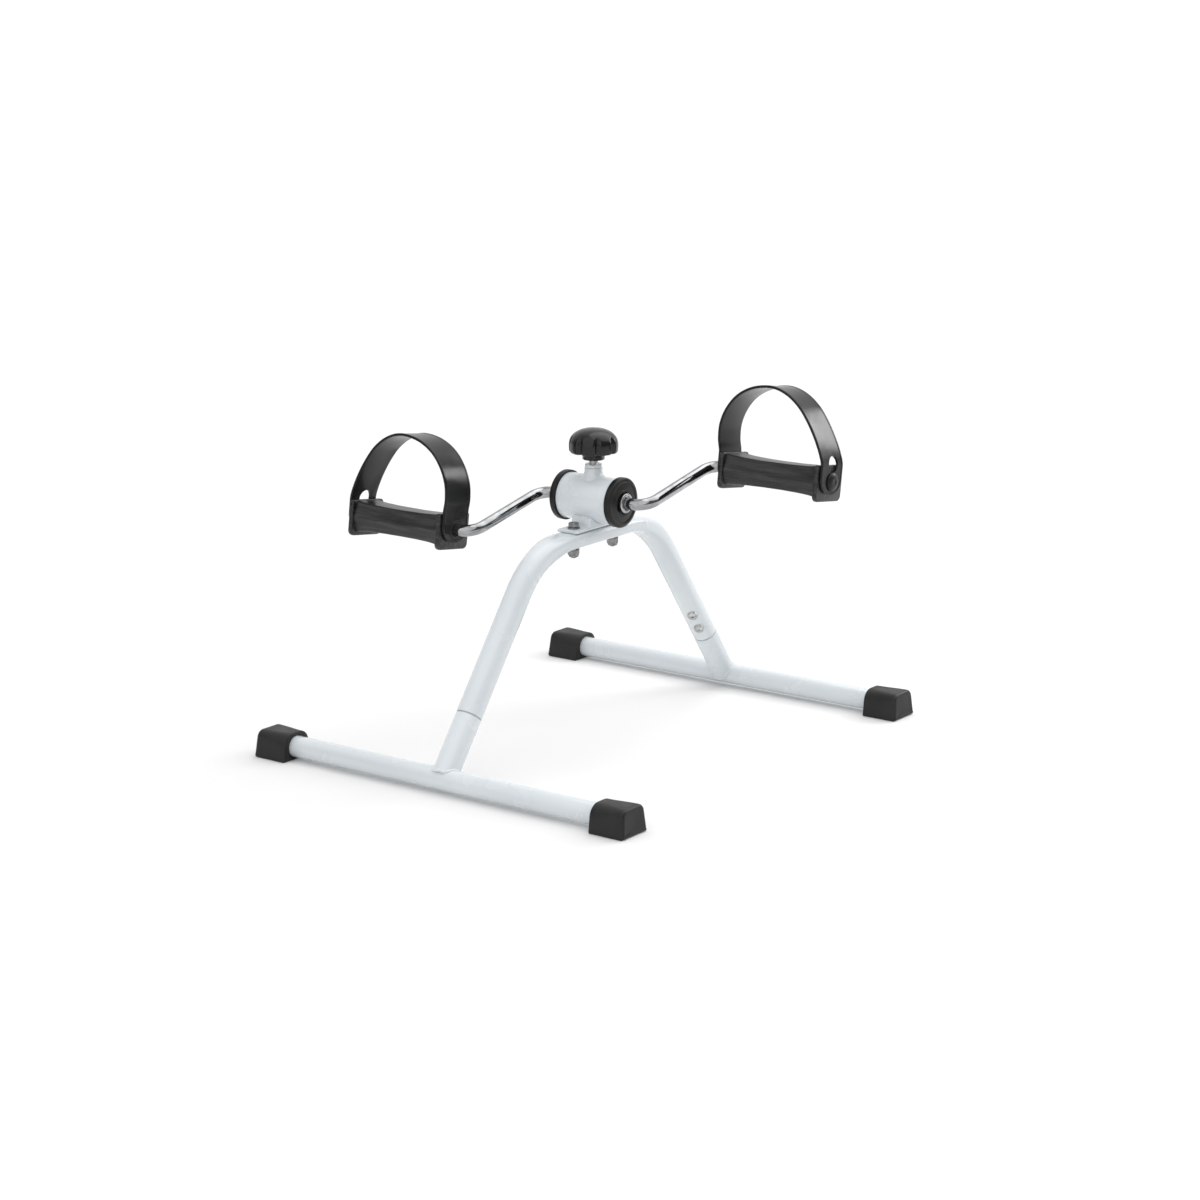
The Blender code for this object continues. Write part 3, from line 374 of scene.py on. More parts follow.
def sweep(name, path, radius, segments, closed=False, radius_at=None, sharp=50.0):
    """A round bar along a path, with rounded ends or closed on itself."""
    count = len(path)
    tangents = []
    for i in range(count):
        if closed:
            tangents.append((path[(i + 1) % count] - path[i - 1]).normalized())
        else:
            tangents.append((path[min(i + 1, count - 1)] - path[max(i - 1, 0)]).normalized())
    side = tangents[0].orthogonal().normalized()
    rows = []
    sides = []
    for i in range(count):
        if i:
            side = tangents[i - 1].rotation_difference(tangents[i]) @ side
        side = (side - tangents[i] * side.dot(tangents[i])).normalized()
        sides.append(side.copy())
    for i in range(count):
        other = tangents[i].cross(sides[i])
        row = []
        for angle in circle(segments):
            r = radius if radius_at is None else radius_at(i, angle)
            row.append(path[i] + (sides[i] * cos(angle) + other * sin(angle)) * r)
        rows.append(row)
    if not closed:
        edge = min(1.2 * MM, radius * 0.3)
        rows = end_rows(path[0], -tangents[0], rows[0], edge, True) + rows[1:-1] + \
            end_rows(path[-1], tangents[-1], rows[-1], edge, False)
    return grid_object(name, rows, closed, sharp)


def end_rows(centre, outward, ring, edge, at_start):
    """The last ring of a bar, followed by rings that round its end."""
    rows = []
    for angle in quarter(3):
        back = edge * (1.0 - sin(angle))
        inset = edge * (1.0 - cos(angle))
        row = []
        for point in ring:
            spoke = point - centre
            row.append(centre - outward * back + spoke * (1.0 - inset / spoke.length))
        rows.append(row)
    return list(reversed(rows)) if at_start else rows


def apply_difference(obj, tools):
    """Cuts the tools out of obj and leaves a plain mesh."""
    for tool in tools:
        modifier = obj.modifiers.new("cut", "BOOLEAN")
        modifier.operation = "DIFFERENCE"
        modifier.solver = "EXACT"
        modifier.object = tool
    bpy.context.view_layer.update()
    evaluated = obj.evaluated_get(bpy.context.evaluated_depsgraph_get())
    mesh = bpy.data.meshes.new_from_object(evaluated)
    obj.modifiers.clear()
    obj.data = mesh
    for tool in tools:
        bpy.data.objects.remove(tool, do_unlink=True)
    mesh.shade_smooth()
    mesh.set_sharp_from_angle(angle=radians(40.0))


def place(obj, body, material, slot, *nodes):
    """Gives a piece its material and body, and hides the CAD nodes it stands for; the slot is not used."""
    obj.data.materials.clear()
    obj.data.materials.append(material)
    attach(obj, body)
    if nodes:
        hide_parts(*nodes)


def paint(obj, *nodes):
    place(obj, "frame", PAINT, "white_paint", *nodes)


def turned(node, body, material, slot, profile, origin, direction=Z_AXIS, segments=72, **shape):
    """A turned piece that stands for the CAD node of its name."""
    piece = lathe(f"{node}_skin", profile, origin, direction, segments, **shape)
    place(piece, body, material, slot, node)


def centre_of(node):
    low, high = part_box(node)
    return (low + high) / 2.0


def radius_of(node):
    """Half the node's width along Y."""
    low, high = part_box(node)
    return (high.y - low.y) / 2.0


def reach_of(node):
    """A node's nearest and farthest distance from the middle of the object along X."""
    low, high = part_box(node)
    return sorted((abs(low.x), abs(high.x)))


def joint(name):
    return next(j for j in frame["joints"] if j["name"] == name)


# Frame dimensions

TUBE_LOW, TUBE_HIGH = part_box("front_floor_tube")
FLOOR_TUBE_R = (TUBE_HIGH.z - TUBE_LOW.z) / 2.0
FLOOR_TUBE_Z = (TUBE_HIGH.z + TUBE_LOW.z) / 2.0
FLOOR_TUBE_Y = -(TUBE_HIGH.y + TUBE_LOW.y) / 2.0
WALL = 1.5 * MM
LEG_SLOPE = 0.748
ARCH_R = 13.2 * MM
ARCH_Z = 215.5 * MM
BEND_R = 96.0 * MM
FLAT_HALF_HEIGHT = 7.8 * MM
FLAT_HALF_WIDTH = 15.6 * MM
FLAT_HALF_LENGTH = 46.0 * MM
FLAT_REAR_EXTRA = 18.0 * MM
FLAT_FADE = 58.0 * MM
JOINT_Z = 68.0 * MM
JOINT_GAP = 0.7 * MM
SPIGOT_R = 11.3 * MM
SPIGOT_LENGTH = 40.0 * MM
COPE_LIFT = 4.6 * MM
LEG_LENGTH = (JOINT_Z - FLOOR_TUBE_Z) * hypot(1.0, LEG_SLOPE)
HUB_Z = joint("crank_spin")["pos_m"][2]


def leg_frame(side):
    """Origin on the floor tube's axis, the unit direction up the leg, and its inner side."""
    axis = Vector((0.0, -side * LEG_SLOPE, 1.0)).normalized()
    inner = Vector((0.0, -side * axis.z, side * axis.y))
    return Vector((0.0, side * FLOOR_TUBE_Y, FLOOR_TUBE_Z)), axis, inner


def cope(cosine, radius):
    """Height along the leg at which a leg of that radius meets the floor tube."""
    reach = FLOOR_TUBE_R ** 2 - (radius * cosine) ** 2
    return sqrt(max(reach, 0.0) + COPE_LIFT ** 2 * smoothstep(1.0 - reach / COPE_LIFT ** 2))


def floor_tubes():
    for where, side in SIDES.items():
        low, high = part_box(f"{where}_floor_tube")
        inner = FLOOR_TUBE_R - WALL
        outline = [(FLOOR_TUBE_R, high.x), (FLOOR_TUBE_R, low.x), (inner, low.x), (inner, high.x)]
        turned(f"{where}_floor_tube", "frame", PAINT, "white_paint", rounded(outline, [0.4 * MM] * 4, 2),
               (0, side * FLOOR_TUBE_Y, FLOOR_TUBE_Z), X_AXIS, 96, closed=True)


def leg_stubs():
    for where, side in SIDES.items():
        origin, axis, inner = leg_frame(side)
        top = LEG_LENGTH - JOINT_GAP
        spigot_top = LEG_LENGTH + SPIGOT_LENGTH
        profile = [(ARCH_R, None), (ARCH_R, top - 0.5 * MM), (ARCH_R - 0.15 * MM, top - 0.15 * MM),
                   (ARCH_R - 0.5 * MM, top), (SPIGOT_R, top), (SPIGOT_R, spigot_top),
                   (SPIGOT_R - WALL, spigot_top), (SPIGOT_R - WALL, None)]
        rows = []
        for radius, height in profile:
            row = []
            for angle in circle(96):
                level = cope(cos(angle), radius) if height is None else height
                spoke = inner * cos(angle) + X_AXIS * sin(angle)
                row.append(origin + axis * level + spoke * radius)
            rows.append(row)
        stub = grid_object(f"{where}_leg_stub_skin", rows, closed=True)
        paint(stub, f"{where}_leg_stub")


def weld_ripple(radius, depth, drift=0.0):
    """The radius of a weld bead along its path: even ripples over a slower drift."""
    def radius_at(i, angle):
        return radius + depth * sin(i * 2.0 * pi / 6.0) + drift * sin(i * 0.37)

    return radius_at


def leg_welds():
    """A rippled fillet weld where each leg stands on its floor tube."""
    ripple = weld_ripple(1.75 * MM, 0.16 * MM, 0.12 * MM)
    for where, side in SIDES.items():
        origin, axis, inner = leg_frame(side)
        path = []
        for angle in circle(240):
            radius = ARCH_R - 0.35 * MM
            spoke = inner * cos(angle) + X_AXIS * sin(angle)
            path.append(origin + axis * (cope(cos(angle), radius) - 0.2 * MM) + spoke * radius)
        bead = sweep(f"{where}_leg_weld", path, 1.8 * MM, 14, closed=True, radius_at=ripple, sharp=80.0)
        paint(bead)


def flatness(y):
    """1 where the arch is pressed flat under the hub, 0 where it is round."""
    reach = FLAT_HALF_LENGTH + (FLAT_REAR_EXTRA if y > 0.0 else 0.0)
    return 1.0 - smoothstep((abs(y) - reach) / FLAT_FADE)


def arch_stations():
    """Points along the arch's centreline, from the front joint to the rear one, as (y, z, slope)."""
    climb = atan2(1.0, LEG_SLOPE)
    corner_y = FLOOR_TUBE_Y - LEG_SLOPE * (ARCH_Z - FLOOR_TUBE_Z)
    level_half = corner_y - BEND_R * tan(climb / 2.0)
    origin, axis, _ = leg_frame(-1)
    stations = []
    bend_start_y = -(level_half + BEND_R * sin(climb))
    bend_start = Vector((0.0, bend_start_y, ARCH_Z - BEND_R + BEND_R * cos(climb)))
    bottom = origin + axis * (LEG_LENGTH + JOINT_GAP)
    for t in (0.0, 0.35, 0.7):
        point = bottom.lerp(bend_start, t)
        stations.append((point.y, point.z, climb))
    steps = 28
    for k in range(steps + 1):
        slope = climb * (1.0 - k / steps)
        z = ARCH_Z - BEND_R + BEND_R * cos(slope)
        stations.append((-level_half - BEND_R * sin(slope), z, slope))
    middle = [(level_half * t, ARCH_Z, 0.0) for t in (-0.8, -0.5, 0.0, 0.5, 0.8)]
    rear = [(-y, z, -slope) for y, z, slope in reversed(stations)]
    return stations + middle + rear


def arch_ring(station, inset):
    """The arch's section at a station: a circle, or flattened and squarer under the hub."""
    y, z, slope = station
    flat = flatness(y)
    half_width = ARCH_R + (FLAT_HALF_WIDTH - ARCH_R) * flat - inset
    half_height = ARCH_R + (FLAT_HALF_HEIGHT - ARCH_R) * flat - inset
    power = 2.0 / (2.0 + 1.4 * flat)
    up = Vector((0.0, -sin(slope), cos(slope)))
    centre = Vector((0.0, y, z))
    row = []
    for angle in circle(72):
        side = copysign(abs(cos(angle)) ** power, cos(angle))
        rise = copysign(abs(sin(angle)) ** power, sin(angle))
        row.append(centre + X_AXIS * (half_width * side) + up * (half_height * rise))
    return row


def arch_tube():
    stations = arch_stations()
    edge = 0.35 * MM
    rows = [arch_ring(stations[0], edge)]
    second = Vector((0.0, stations[0][0], stations[0][1])) + leg_frame(-1)[1] * edge
    rows.append(arch_ring((second.y, second.z, stations[0][2]), 0.0))
    rows += [arch_ring(station, 0.0) for station in stations[1:-1]]
    rows.append(arch_ring((-second.y, second.z, stations[-1][2]), 0.0))
    rows.append(arch_ring(stations[-1], edge))
    rows += [arch_ring(station, WALL) for station in reversed(stations)]
    arch = grid_object("arch_tube_skin", rows, closed=True)
    paint(arch, "arch_tube")


# Rubber feet

FOOT_POINTS = 120
FOOT_END_LEAN = 2.2 * MM
FOOT_EDGE_R = 3.0 * MM
FOOT_LIP_R = 0.9 * MM
FOOT_SOCKET_DEPTH = 12.0 * MM
GROOVE_PITCH = 6.2 * MM
GROOVE_DEPTH = 0.9 * MM
FOOT_CROWN_R = 7.4 * MM
FOOT_MOUTH_CROWN_R = 13.0 * MM


def foot_section(width, height, inset=0.0, along=0.0):
    """The foot's outline, inset by a distance. Its top grows rounder along the foot, towards the tube."""
    right = [(width, 0.0), (width - 0.4 * MM, 3.2 * MM), (width - 3.3 * MM, height)]
    crown = FOOT_CROWN_R + (FOOT_MOUTH_CROWN_R - FOOT_CROWN_R) * smoothstep(along)
    radii = [0.9 * MM, 2.0 * MM, crown]
    corners = [(0.0, 0.0)] + right + [(-y, z) for y, z in reversed(right)]
    outline = rounded(corners, [0.0] + radii + list(reversed(radii)), 6)
    middle = Vector((0.0, height * 0.45))
    if inset > 0.0:
        outline = inset_outline(outline, inset)
    return resample(outline, middle)


def resample(outline, middle):
    """Points of a closed outline at equal bearings round a middle point, starting straight down."""
    result = []
    for bearing in circle(FOOT_POINTS):
        angle = bearing - pi / 2.0
        ray = Vector((cos(angle), sin(angle)))
        best = None
        for a, b in zip(outline, outline[1:] + outline[:1]):
            edge = b - a
            det = ray.x * -edge.y + ray.y * edge.x
            if abs(det) < 1e-12:
                continue
            offset = a - middle
            t = (offset.x * -edge.y + offset.y * edge.x) / det
            u = (ray.x * offset.y - ray.y * offset.x) / det
            if t > 0.0 and -1e-6 <= u <= 1.0 + 1e-6:
                best = t if best is None else max(best, t)
        result.append(middle + ray * best)
    return result


def foot(where, hand):
    """A rubber foot with a grooved sole, a rounded end and a socket for the floor tube."""
    node = f"{where}_{hand}_foot"
    low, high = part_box(node)
    end = HANDS[hand]
    outer_x = high.x if end > 0 else low.x
    length = high.x - low.x
    width = (high.y - low.y) / 2.0
    height = high.z
    centre_y = (low.y + high.y) / 2.0
    rows = []

    def add(inset, depth, along=0.0, groove=0.0):
        row = []
        for point in foot_section(width, height, inset, along):
            lean = FOOT_END_LEAN * (point.y / height) ** 1.3 if point.y > 0.0 else 0.0
            x = outer_x - end * (depth + lean * (1.0 - depth / length))
            lift = groove if point.y < 0.3 * MM and abs(point.x) < width - 3.0 * MM else 0.0
            row.append(Vector((x, centre_y + point.x, point.y + lift)))
        rows.append(row)

    edge = FOOT_EDGE_R
    add(edge + 3.0 * MM, 0.25 * MM)
    add(edge + 0.4 * MM, 0.0)
    for angle in quarter(6)[1:]:
        add(edge * (1.0 - sin(angle)), edge * (1.0 - cos(angle)))
    depth = edge + 2.0 * MM
    while depth < length - 5.0 * MM:
        for offset, groove in ((0.0, 0.0), (0.3, GROOVE_DEPTH), (2.2, GROOVE_DEPTH), (2.5, 0.0)):
            reached = depth + offset * MM
            add(0.0, reached, (reached - edge) / (length - edge), groove)
        depth += GROOVE_PITCH
    lip = FOOT_LIP_R
    for angle in quarter(3):
        add(lip * (1.0 - cos(angle)), length - lip * (1.0 - sin(angle)), 1.0)
    bore = FLOOR_TUBE_R + 0.12 * MM
    for radius, back in ((bore + lip, 0.0), (bore + 0.3 * MM, 0.3 * MM), (bore, lip),
                         (bore, FOOT_SOCKET_DEPTH)):
        row = []
        for bearing in circle(FOOT_POINTS):
            angle = bearing - pi / 2.0
            row.append(Vector((outer_x - end * (length - back), centre_y + radius * cos(angle),
                               FLOOR_TUBE_Z + radius * sin(angle))))
        rows.append(row)
    piece = grid_object(f"{node}_skin", rows, sharp=50.0)
    place(piece, "frame", RUBBER, "black_rubber", node)


# Fasteners

ACROSS_FLATS = 0.866
THREAD_R = 3.0 * MM
NUT_BORE_R = 3.1 * MM
WASHER_BORE_R = 3.2 * MM
SCREW_HEAD_R = 5.6 * MM
SCREW_TURN = radians(30.0)


def hexagon_of(node):
    """A hexagonal node's radius to the corners, its radius to the flats, and one just outside both."""
    corner = radius_of(node)
    return corner, corner * ACROSS_FLATS, corner * 1.01


def hexagon(corner):
    """Limits a turned profile to a hexagon, so its chamfers come out as cones."""
    flat = corner * cos(pi / 6.0)

    def limit(radius, height, angle):
        wedge = (angle % (pi / 3.0)) - pi / 6.0
        return min(radius, flat / cos(wedge))

    return limit


def cross_recess(origin, direction, depth, arm, width):
    """Two crossed tapered bars that cut a Phillips recess."""
    tools = []
    placing = frame_of(origin, direction)
    for turn in (0.0, pi / 2.0):
        bm = bmesh.new()
        bmesh.ops.create_cube(bm, size=1.0)
        for vert in bm.verts:
            taper = 0.45 if vert.co.z < 0.0 else 1.0
            vert.co = Vector((vert.co.x * 2.0 * arm * taper, vert.co.y * width * taper,
                              vert.co.z * 2.0 * depth))
            vert.co = Matrix.Rotation(turn, 3, "Z") @ vert.co
        bm.transform(placing)
        tools.append(new_object(f"recess_{turn:.0f}", bm))
    return tools


def leg_screws():
    """Domed cross-head screws that hold the arch on its two leg stubs."""
    for where, side in SIDES.items():
        origin, axis, inner = leg_frame(side)
        outward = Matrix.Rotation(SCREW_TURN, 3, axis) @ inner
        for level, step in (("lower", 20.0 * MM), ("upper", 41.0 * MM)):
            node = f"{where}_{level}_leg_screw"
            seat = origin + axis * (LEG_LENGTH + step) + outward * (ARCH_R - 0.1 * MM)
            profile = [(4.0 * MM, -0.4 * MM), (SCREW_HEAD_R, 0.0), (SCREW_HEAD_R, 0.7 * MM)]
            for bearing in (4, 20, 38, 56, 72, 84):
                a = radians(bearing)
                profile.append((SCREW_HEAD_R * cos(a), 0.9 * MM + 2.1 * MM * sin(a)))
            screw = lathe(f"{node}_skin", profile, seat, outward, 48, sharp=45.0)
            tip = seat + outward * 3.0 * MM
            apply_difference(screw, cross_recess(tip, outward, 1.7 * MM, 2.7 * MM, 1.1 * MM))
            place(screw, "frame", PALE_ZINC, "zinc", node)


def washer(node):
    low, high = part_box(node)
    centre = centre_of(node)
    outer = radius_of(node)
    outline = [(outer, high.z), (outer, low.z), (WASHER_BORE_R, low.z), (WASHER_BORE_R, high.z)]
    turned(node, "frame", ZINC, "zinc", rounded(outline, [0.25 * MM] * 4, 2), (centre.x, centre.y, 0.0),
           segments=48, closed=True)


def saddle_bolts():
    """The two hexagon bolts through the saddle and the arch, with their nuts and washers."""
    for where in SIDES:
        node = f"hub_{where}_bolt"
        low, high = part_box(node)
        y = centre_of(node).y
        corner, flat, outside = hexagon_of(node)
        seat = high.z - 4.2 * MM
        profile = [(0.6 * MM, high.z - 0.35 * MM), (flat * 0.72, high.z - 0.35 * MM), (flat * 0.78, high.z),
                   (flat * 0.97, high.z), (outside, high.z - 0.55 * MM), (outside, seat + 0.2 * MM),
                   (flat * 0.98, seat), (THREAD_R, seat), (THREAD_R, low.z + 0.6 * MM), (2.4 * MM, low.z)]
        turned(node, "frame", ZINC, "zinc", profile, (0, y, 0), radius_at=hexagon(corner), sharp=30.0)

        node = f"hub_{where}_nut"
        low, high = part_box(node)
        corner, flat, outside = hexagon_of(node)
        collar = low.z + 2.2 * MM
        outline = [(flat * 0.97, high.z), (outside, high.z - 0.5 * MM), (outside, collar + 0.5 * MM),
                   (flat * 0.97, collar), (flat * 0.90, collar - 0.2 * MM), (flat * 0.88, low.z + 0.6 * MM),
                   (flat * 0.74, low.z), (3.25 * MM, low.z), (NUT_BORE_R, low.z + 1.0 * MM),
                   (NUT_BORE_R, high.z)]
        turned(node, "frame", ZINC, "zinc", outline, (0, y, 0), closed=True, radius_at=hexagon(corner),
               sharp=30.0)
        washer(f"hub_{where}_upper_washer")
        washer(f"hub_{where}_lower_washer")


# Hub

BARREL_R = radius_of("hub_barrel")
BARREL_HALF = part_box("hub_barrel")[1].x
BARREL_WALL = 3.0 * MM
BOSS_HOLE_R = 9.6 * MM
BOSS_R = 9.3 * MM
BOSS_BORE_R = 7.1 * MM
SADDLE_PLATE = 3.0 * MM
SADDLE_CRADLE_HALF = 17.5 * MM


def hub_barrel():
    """The painted barrel, pierced at the top for the guide tube."""
    bore = BARREL_R - BARREL_WALL
    outline = [(BARREL_R, BARREL_HALF), (BARREL_R, -BARREL_HALF), (bore, -BARREL_HALF), (bore, BARREL_HALF)]
    barrel = lathe("hub_barrel_skin", rounded(outline, [0.5 * MM] * 4, 3), (0, 0, HUB_Z), X_AXIS, 128,
                   closed=True)
    hole = lathe("barrel_hole", [(BOSS_HOLE_R, HUB_Z + bore / 2.0), (BOSS_HOLE_R, HUB_Z + 2.0 * BARREL_R)],
                 (0, 0, 0), Z_AXIS, 64)
    apply_difference(barrel, [hole])
    paint(barrel, "hub_barrel")


def hub_saddle():
    """The saddle plate with its cradle for the barrel, and a weld along each side of the barrel."""
    low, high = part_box("hub_saddle")
    plate = low.z + SADDLE_PLATE
    arc_r = BARREL_R + 0.05 * MM
    reach = asin(SADDLE_CRADLE_HALF / arc_r)
    steps = 24
    arc = []
    for k in range(steps + 1):
        angle = reach * (1.0 - 2.0 * k / steps)
        arc.append((arc_r * sin(angle), HUB_Z - arc_r * cos(angle)))
    tip = arc[0][1]
    right = [(high.y, low.z), (high.y, plate), (22.6 * MM, plate), (20.5 * MM, tip - 0.6 * MM)]
    radii = in_mm(0.8, 1.0, 2.0, 1.2)
    outline = rounded([(low.y, low.z)] + right + arc + [(-y, z) for y, z in reversed(right[1:])],
                      [radii[0]] + radii + [0.0] * len(arc) + list(reversed(radii[1:])))
    half = high.x
    edge = 0.6 * MM
    rows = []
    for x, inset in ((-half, edge), (-half + 0.18 * MM, 0.42 * edge), (-half + edge, 0.0),
                     (half - edge, 0.0), (half - 0.18 * MM, 0.42 * edge), (half, edge)):
        rows.append([Vector((x, y, z)) for y, z in inset_outline(outline, inset)])
    saddle = grid_object("hub_saddle_skin", rows, sharp=30.0)
    paint(saddle, "hub_saddle")
    ripple = weld_ripple(1.5 * MM, 0.14 * MM)
    for name, side in SIDES.items():
        path = []
        count = 90
        for k in range(count):
            x = -half + 1.5 * MM + (2.0 * half - 3.0 * MM) * k / (count - 1)
            path.append(Vector((x, side * 18.2 * MM, tip - 0.1 * MM + 0.1 * MM * sin(k * 0.9))))
        weld = sweep(f"saddle_{name}_weld", path, 1.5 * MM, 14, radius_at=ripple, sharp=80.0)
        paint(weld)


def hub_caps():
    """Nylon caps with a rim and a dished face, pressed into the barrel's ends."""
    seat = BARREL_HALF + 0.15 * MM
    for hand, end in HANDS.items():
        node = f"hub_{hand}_cap"
        outer = radius_of(node)
        face = reach_of(node)[1]
        outline = [(outer, seat), (outer, face - 0.7 * MM)]
        outline += points(face, (21.8, 0.0), (20.6, -0.8), (14.2, 0.2), (11.6, 0.0), (11.2, -1.6),
                          (6.5, -1.6))
        outline += points(seat, (6.5, -5.0), (20.5, -5.0), (20.5, 0.0))
        radii = in_mm(0.5, 2.0, 0.9, 0.9, 3.0, 0.7, 0.4, 0.3, 0.0, 0.0, 0.0)
        turned(node, "frame", CAP, "black_plastic", rounded(outline, radii), (0, 0, HUB_Z), (end, 0, 0), 128,
               closed=True)


def boss():
    """The guide tube on the barrel, flaring into a weld that follows the barrel's curve."""
    low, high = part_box("boss_sleeve")
    top = high.z
    eased = BOSS_R - 0.3 * MM
    rows = []

    def on_barrel(radius, angle, lift):
        y = radius * sin(angle)
        return Vector((radius * cos(angle), y, HUB_Z + sqrt(BARREL_R ** 2 - y * y) + lift))

    turns = circle(96)
    ripple = [0.09 * MM * sin(a * 26.0) for a in turns]
    for radius, lift in ((12.6, -0.4), (12.2, 0.15), (11.5, 0.75), (10.6, 1.5), (9.9, 2.5), (9.5, 3.6)):
        rows.append([on_barrel(radius * MM + r, a, lift * MM) for a, r in zip(turns, ripple)])
    for radius, z in ((BOSS_R, HUB_Z + BARREL_R + 3.9 * MM), (BOSS_R, top - 0.3 * MM), (eased, top),
                      (7.4 * MM, top), (BOSS_BORE_R, top - 0.3 * MM), (BOSS_BORE_R, low.z), (eased, low.z)):
        rows.append([polar(radius, a, z) for a in turns])
    sleeve = grid_object("boss_sleeve_skin", rows, closed=True, sharp=45.0)
    paint(sleeve, "boss_sleeve")

    low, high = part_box("boss_nut")
    corner, flat, outside = hexagon_of("boss_nut")
    outline = [(flat * 0.97, high.z), (outside, high.z - 0.6 * MM), (outside, low.z + 0.15 * MM),
               (flat, low.z - 0.2 * MM), (5.0 * MM, low.z - 0.2 * MM), (5.0 * MM, high.z - 0.5 * MM),
               (5.5 * MM, high.z)]
    turned("boss_nut", "frame", PAINT, "white_paint", outline, (0, 0, 0), closed=True,
           radius_at=hexagon(corner), sharp=30.0)


# Screw and knob

SCREW_R = 4.75 * MM
THREAD_PITCH = 1.5 * MM
THREAD_DEPTH = 0.8 * MM


def tension_screw():
    """The resistance screw, with a real helical thread."""
    low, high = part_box("tension_screw")
    steps = int((high.z - low.z) / THREAD_PITCH * 8)
    rows = []
    for i in range(steps + 1):
        z = low.z + (high.z - low.z) * i / steps
        lead = smoothstep((z - low.z) / (1.0 * MM))
        row = []
        for angle in circle(48):
            phase = ((z / THREAD_PITCH) - angle / (2.0 * pi)) % 1.0
            groove = max(0.0, 1.0 - abs(phase - 0.5) / 0.42)
            radius = (SCREW_R - THREAD_DEPTH * groove) * (0.84 + 0.16 * lead)
            row.append(polar(radius, angle, z))
        rows.append(row)
    screw = grid_object("tension_screw_skin", rows, sharp=60.0)
    # The screw's paler zinc is painted light that lifts the knob's shade off it.
    place(screw, "knob", SHADE_LIFTED_ZINC, "steel", "tension_screw")


KNOB_LOBES = 8
KNOB_R = 25.3 * MM
KNOB_SKIRT_Z = 300.3 * MM
FLUTE_DEPTH = 0.11
FLUTE_POWER = 3.0


def knob():
    """The lobed hand knob: collar, hollow underside, fluted skirt and low dome."""
    low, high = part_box("tension_knob")
    skirt = KNOB_SKIRT_Z
    rise = high.z - skirt
    turns = circle(192)
    rows = []

    def ring(radius, z, strength=1.0):
        row = []
        for a in turns:
            flute = max(0.0, cos(KNOB_LOBES * a)) ** FLUTE_POWER
            row.append(polar(radius * (1.0 - FLUTE_DEPTH * flute * strength), a, z))
        rows.append(row)

    collar = points(low.z, (5.0, 6.0), (5.0, 0.5), (5.6, 0.0), (10.9, 0.0), (11.5, 0.6))
    for radius, z in collar + points(skirt, (11.6, -0.6), (12.2, 0.2)):
        ring(radius, z, 0.0)
    ring(19.0 * MM, skirt + 0.9 * MM, 0.5)
    ring(22.6 * MM, skirt + 0.3 * MM, 0.9)
    for radius, z in points(skirt, (23.6, 0.05), (24.3, 0.4), (24.75, 1.1)):
        ring(radius, z)
    steps = 26
    for k in range(steps + 1):
        t = 0.09 + 0.905 * k / steps
        dome = KNOB_R * (1.0 - max(t - 0.28, 0.0) ** 2.5 / 0.72 ** 2.5) ** 0.47
        shoulder = 1.0 - 0.02 * max(0.0, 1.0 - t / 0.28) ** 2
        ring(dome * shoulder, skirt + rise * t, 1.0 - smoothstep((t - 0.48) / 0.36))
    ring(0.8 * MM, high.z, 0.0)
    piece = grid_object("tension_knob_skin", rows, sharp=60.0)
    place(piece, "knob", KNOB, "gloss_plastic", "tension_knob")


# Crank

CRANK_R = 111.0 * MM
CRANK_ANGLE = radians(76.2)
ROD_R = 6.0 * MM
ROD_BEND_R = 17.0 * MM
AXLE_BEND_X = 66.0 * MM
ARM_BEND_X = 73.0 * MM
SPINDLE_BORE_R = 6.35 * MM


def crank_point(x, radius, side):
    return Vector((side * x, side * radius * sin(CRANK_ANGLE), HUB_Z + side * radius * cos(CRANK_ANGLE)))


def rounded_path(corners, radius):
    """A path in space through the corners, each replaced by an arc."""
    steps = 14
    path = [corners[0]]
    for before, corner, after in zip(corners, corners[1:], corners[2:]):
        back = (before - corner).normalized()
        ahead = (after - corner).normalized()
        half = back.angle(ahead) / 2.0
        centre = corner + (back + ahead).normalized() * (radius / sin(half))
        first = corner + back * (radius / tan(half)) - centre
        normal = back.cross(ahead).normalized()
        turn = -(pi - 2.0 * half)
        for k in range(steps + 1):
            path.append(centre + Matrix.Rotation(turn * k / steps, 3, normal) @ first)
    path.append(corners[-1])
    return path


def crank():
    """The one cranked rod and the two collars that hold it between the hub caps."""
    end_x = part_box("crank_rod")[1].x
    bends = ((end_x, CRANK_R), (ARM_BEND_X, CRANK_R), (AXLE_BEND_X, 0.0))
    corners = [crank_point(x, radius, -1) for x, radius in bends]
    corners += [crank_point(x, radius, 1) for x, radius in reversed(bends)]
    rod = sweep("crank_rod_skin", rounded_path(corners, ROD_BEND_R), ROD_R, 56)
    place(rod, "crank", CHROME, "chrome", "crank_rod")
    bore = ROD_R + 0.15 * MM
    for hand, end in HANDS.items():
        node = f"crank_{hand}_collar"
        outer = radius_of(node)
        start, finish = reach_of(node)
        outline = [(outer, start), (outer, finish), (outer - 2.6 * MM, finish),
                   (outer - 3.2 * MM, finish - 1.4 * MM), (bore, finish - 1.5 * MM), (bore, start)]
        turned(node, "crank", CHROME, "chrome", rounded(outline, in_mm(0.2, 0.9, 0.5, 0.2, 0.1, 0.0)),
               (0, 0, HUB_Z), (end, 0, 0), 96, closed=True)


# Pedals

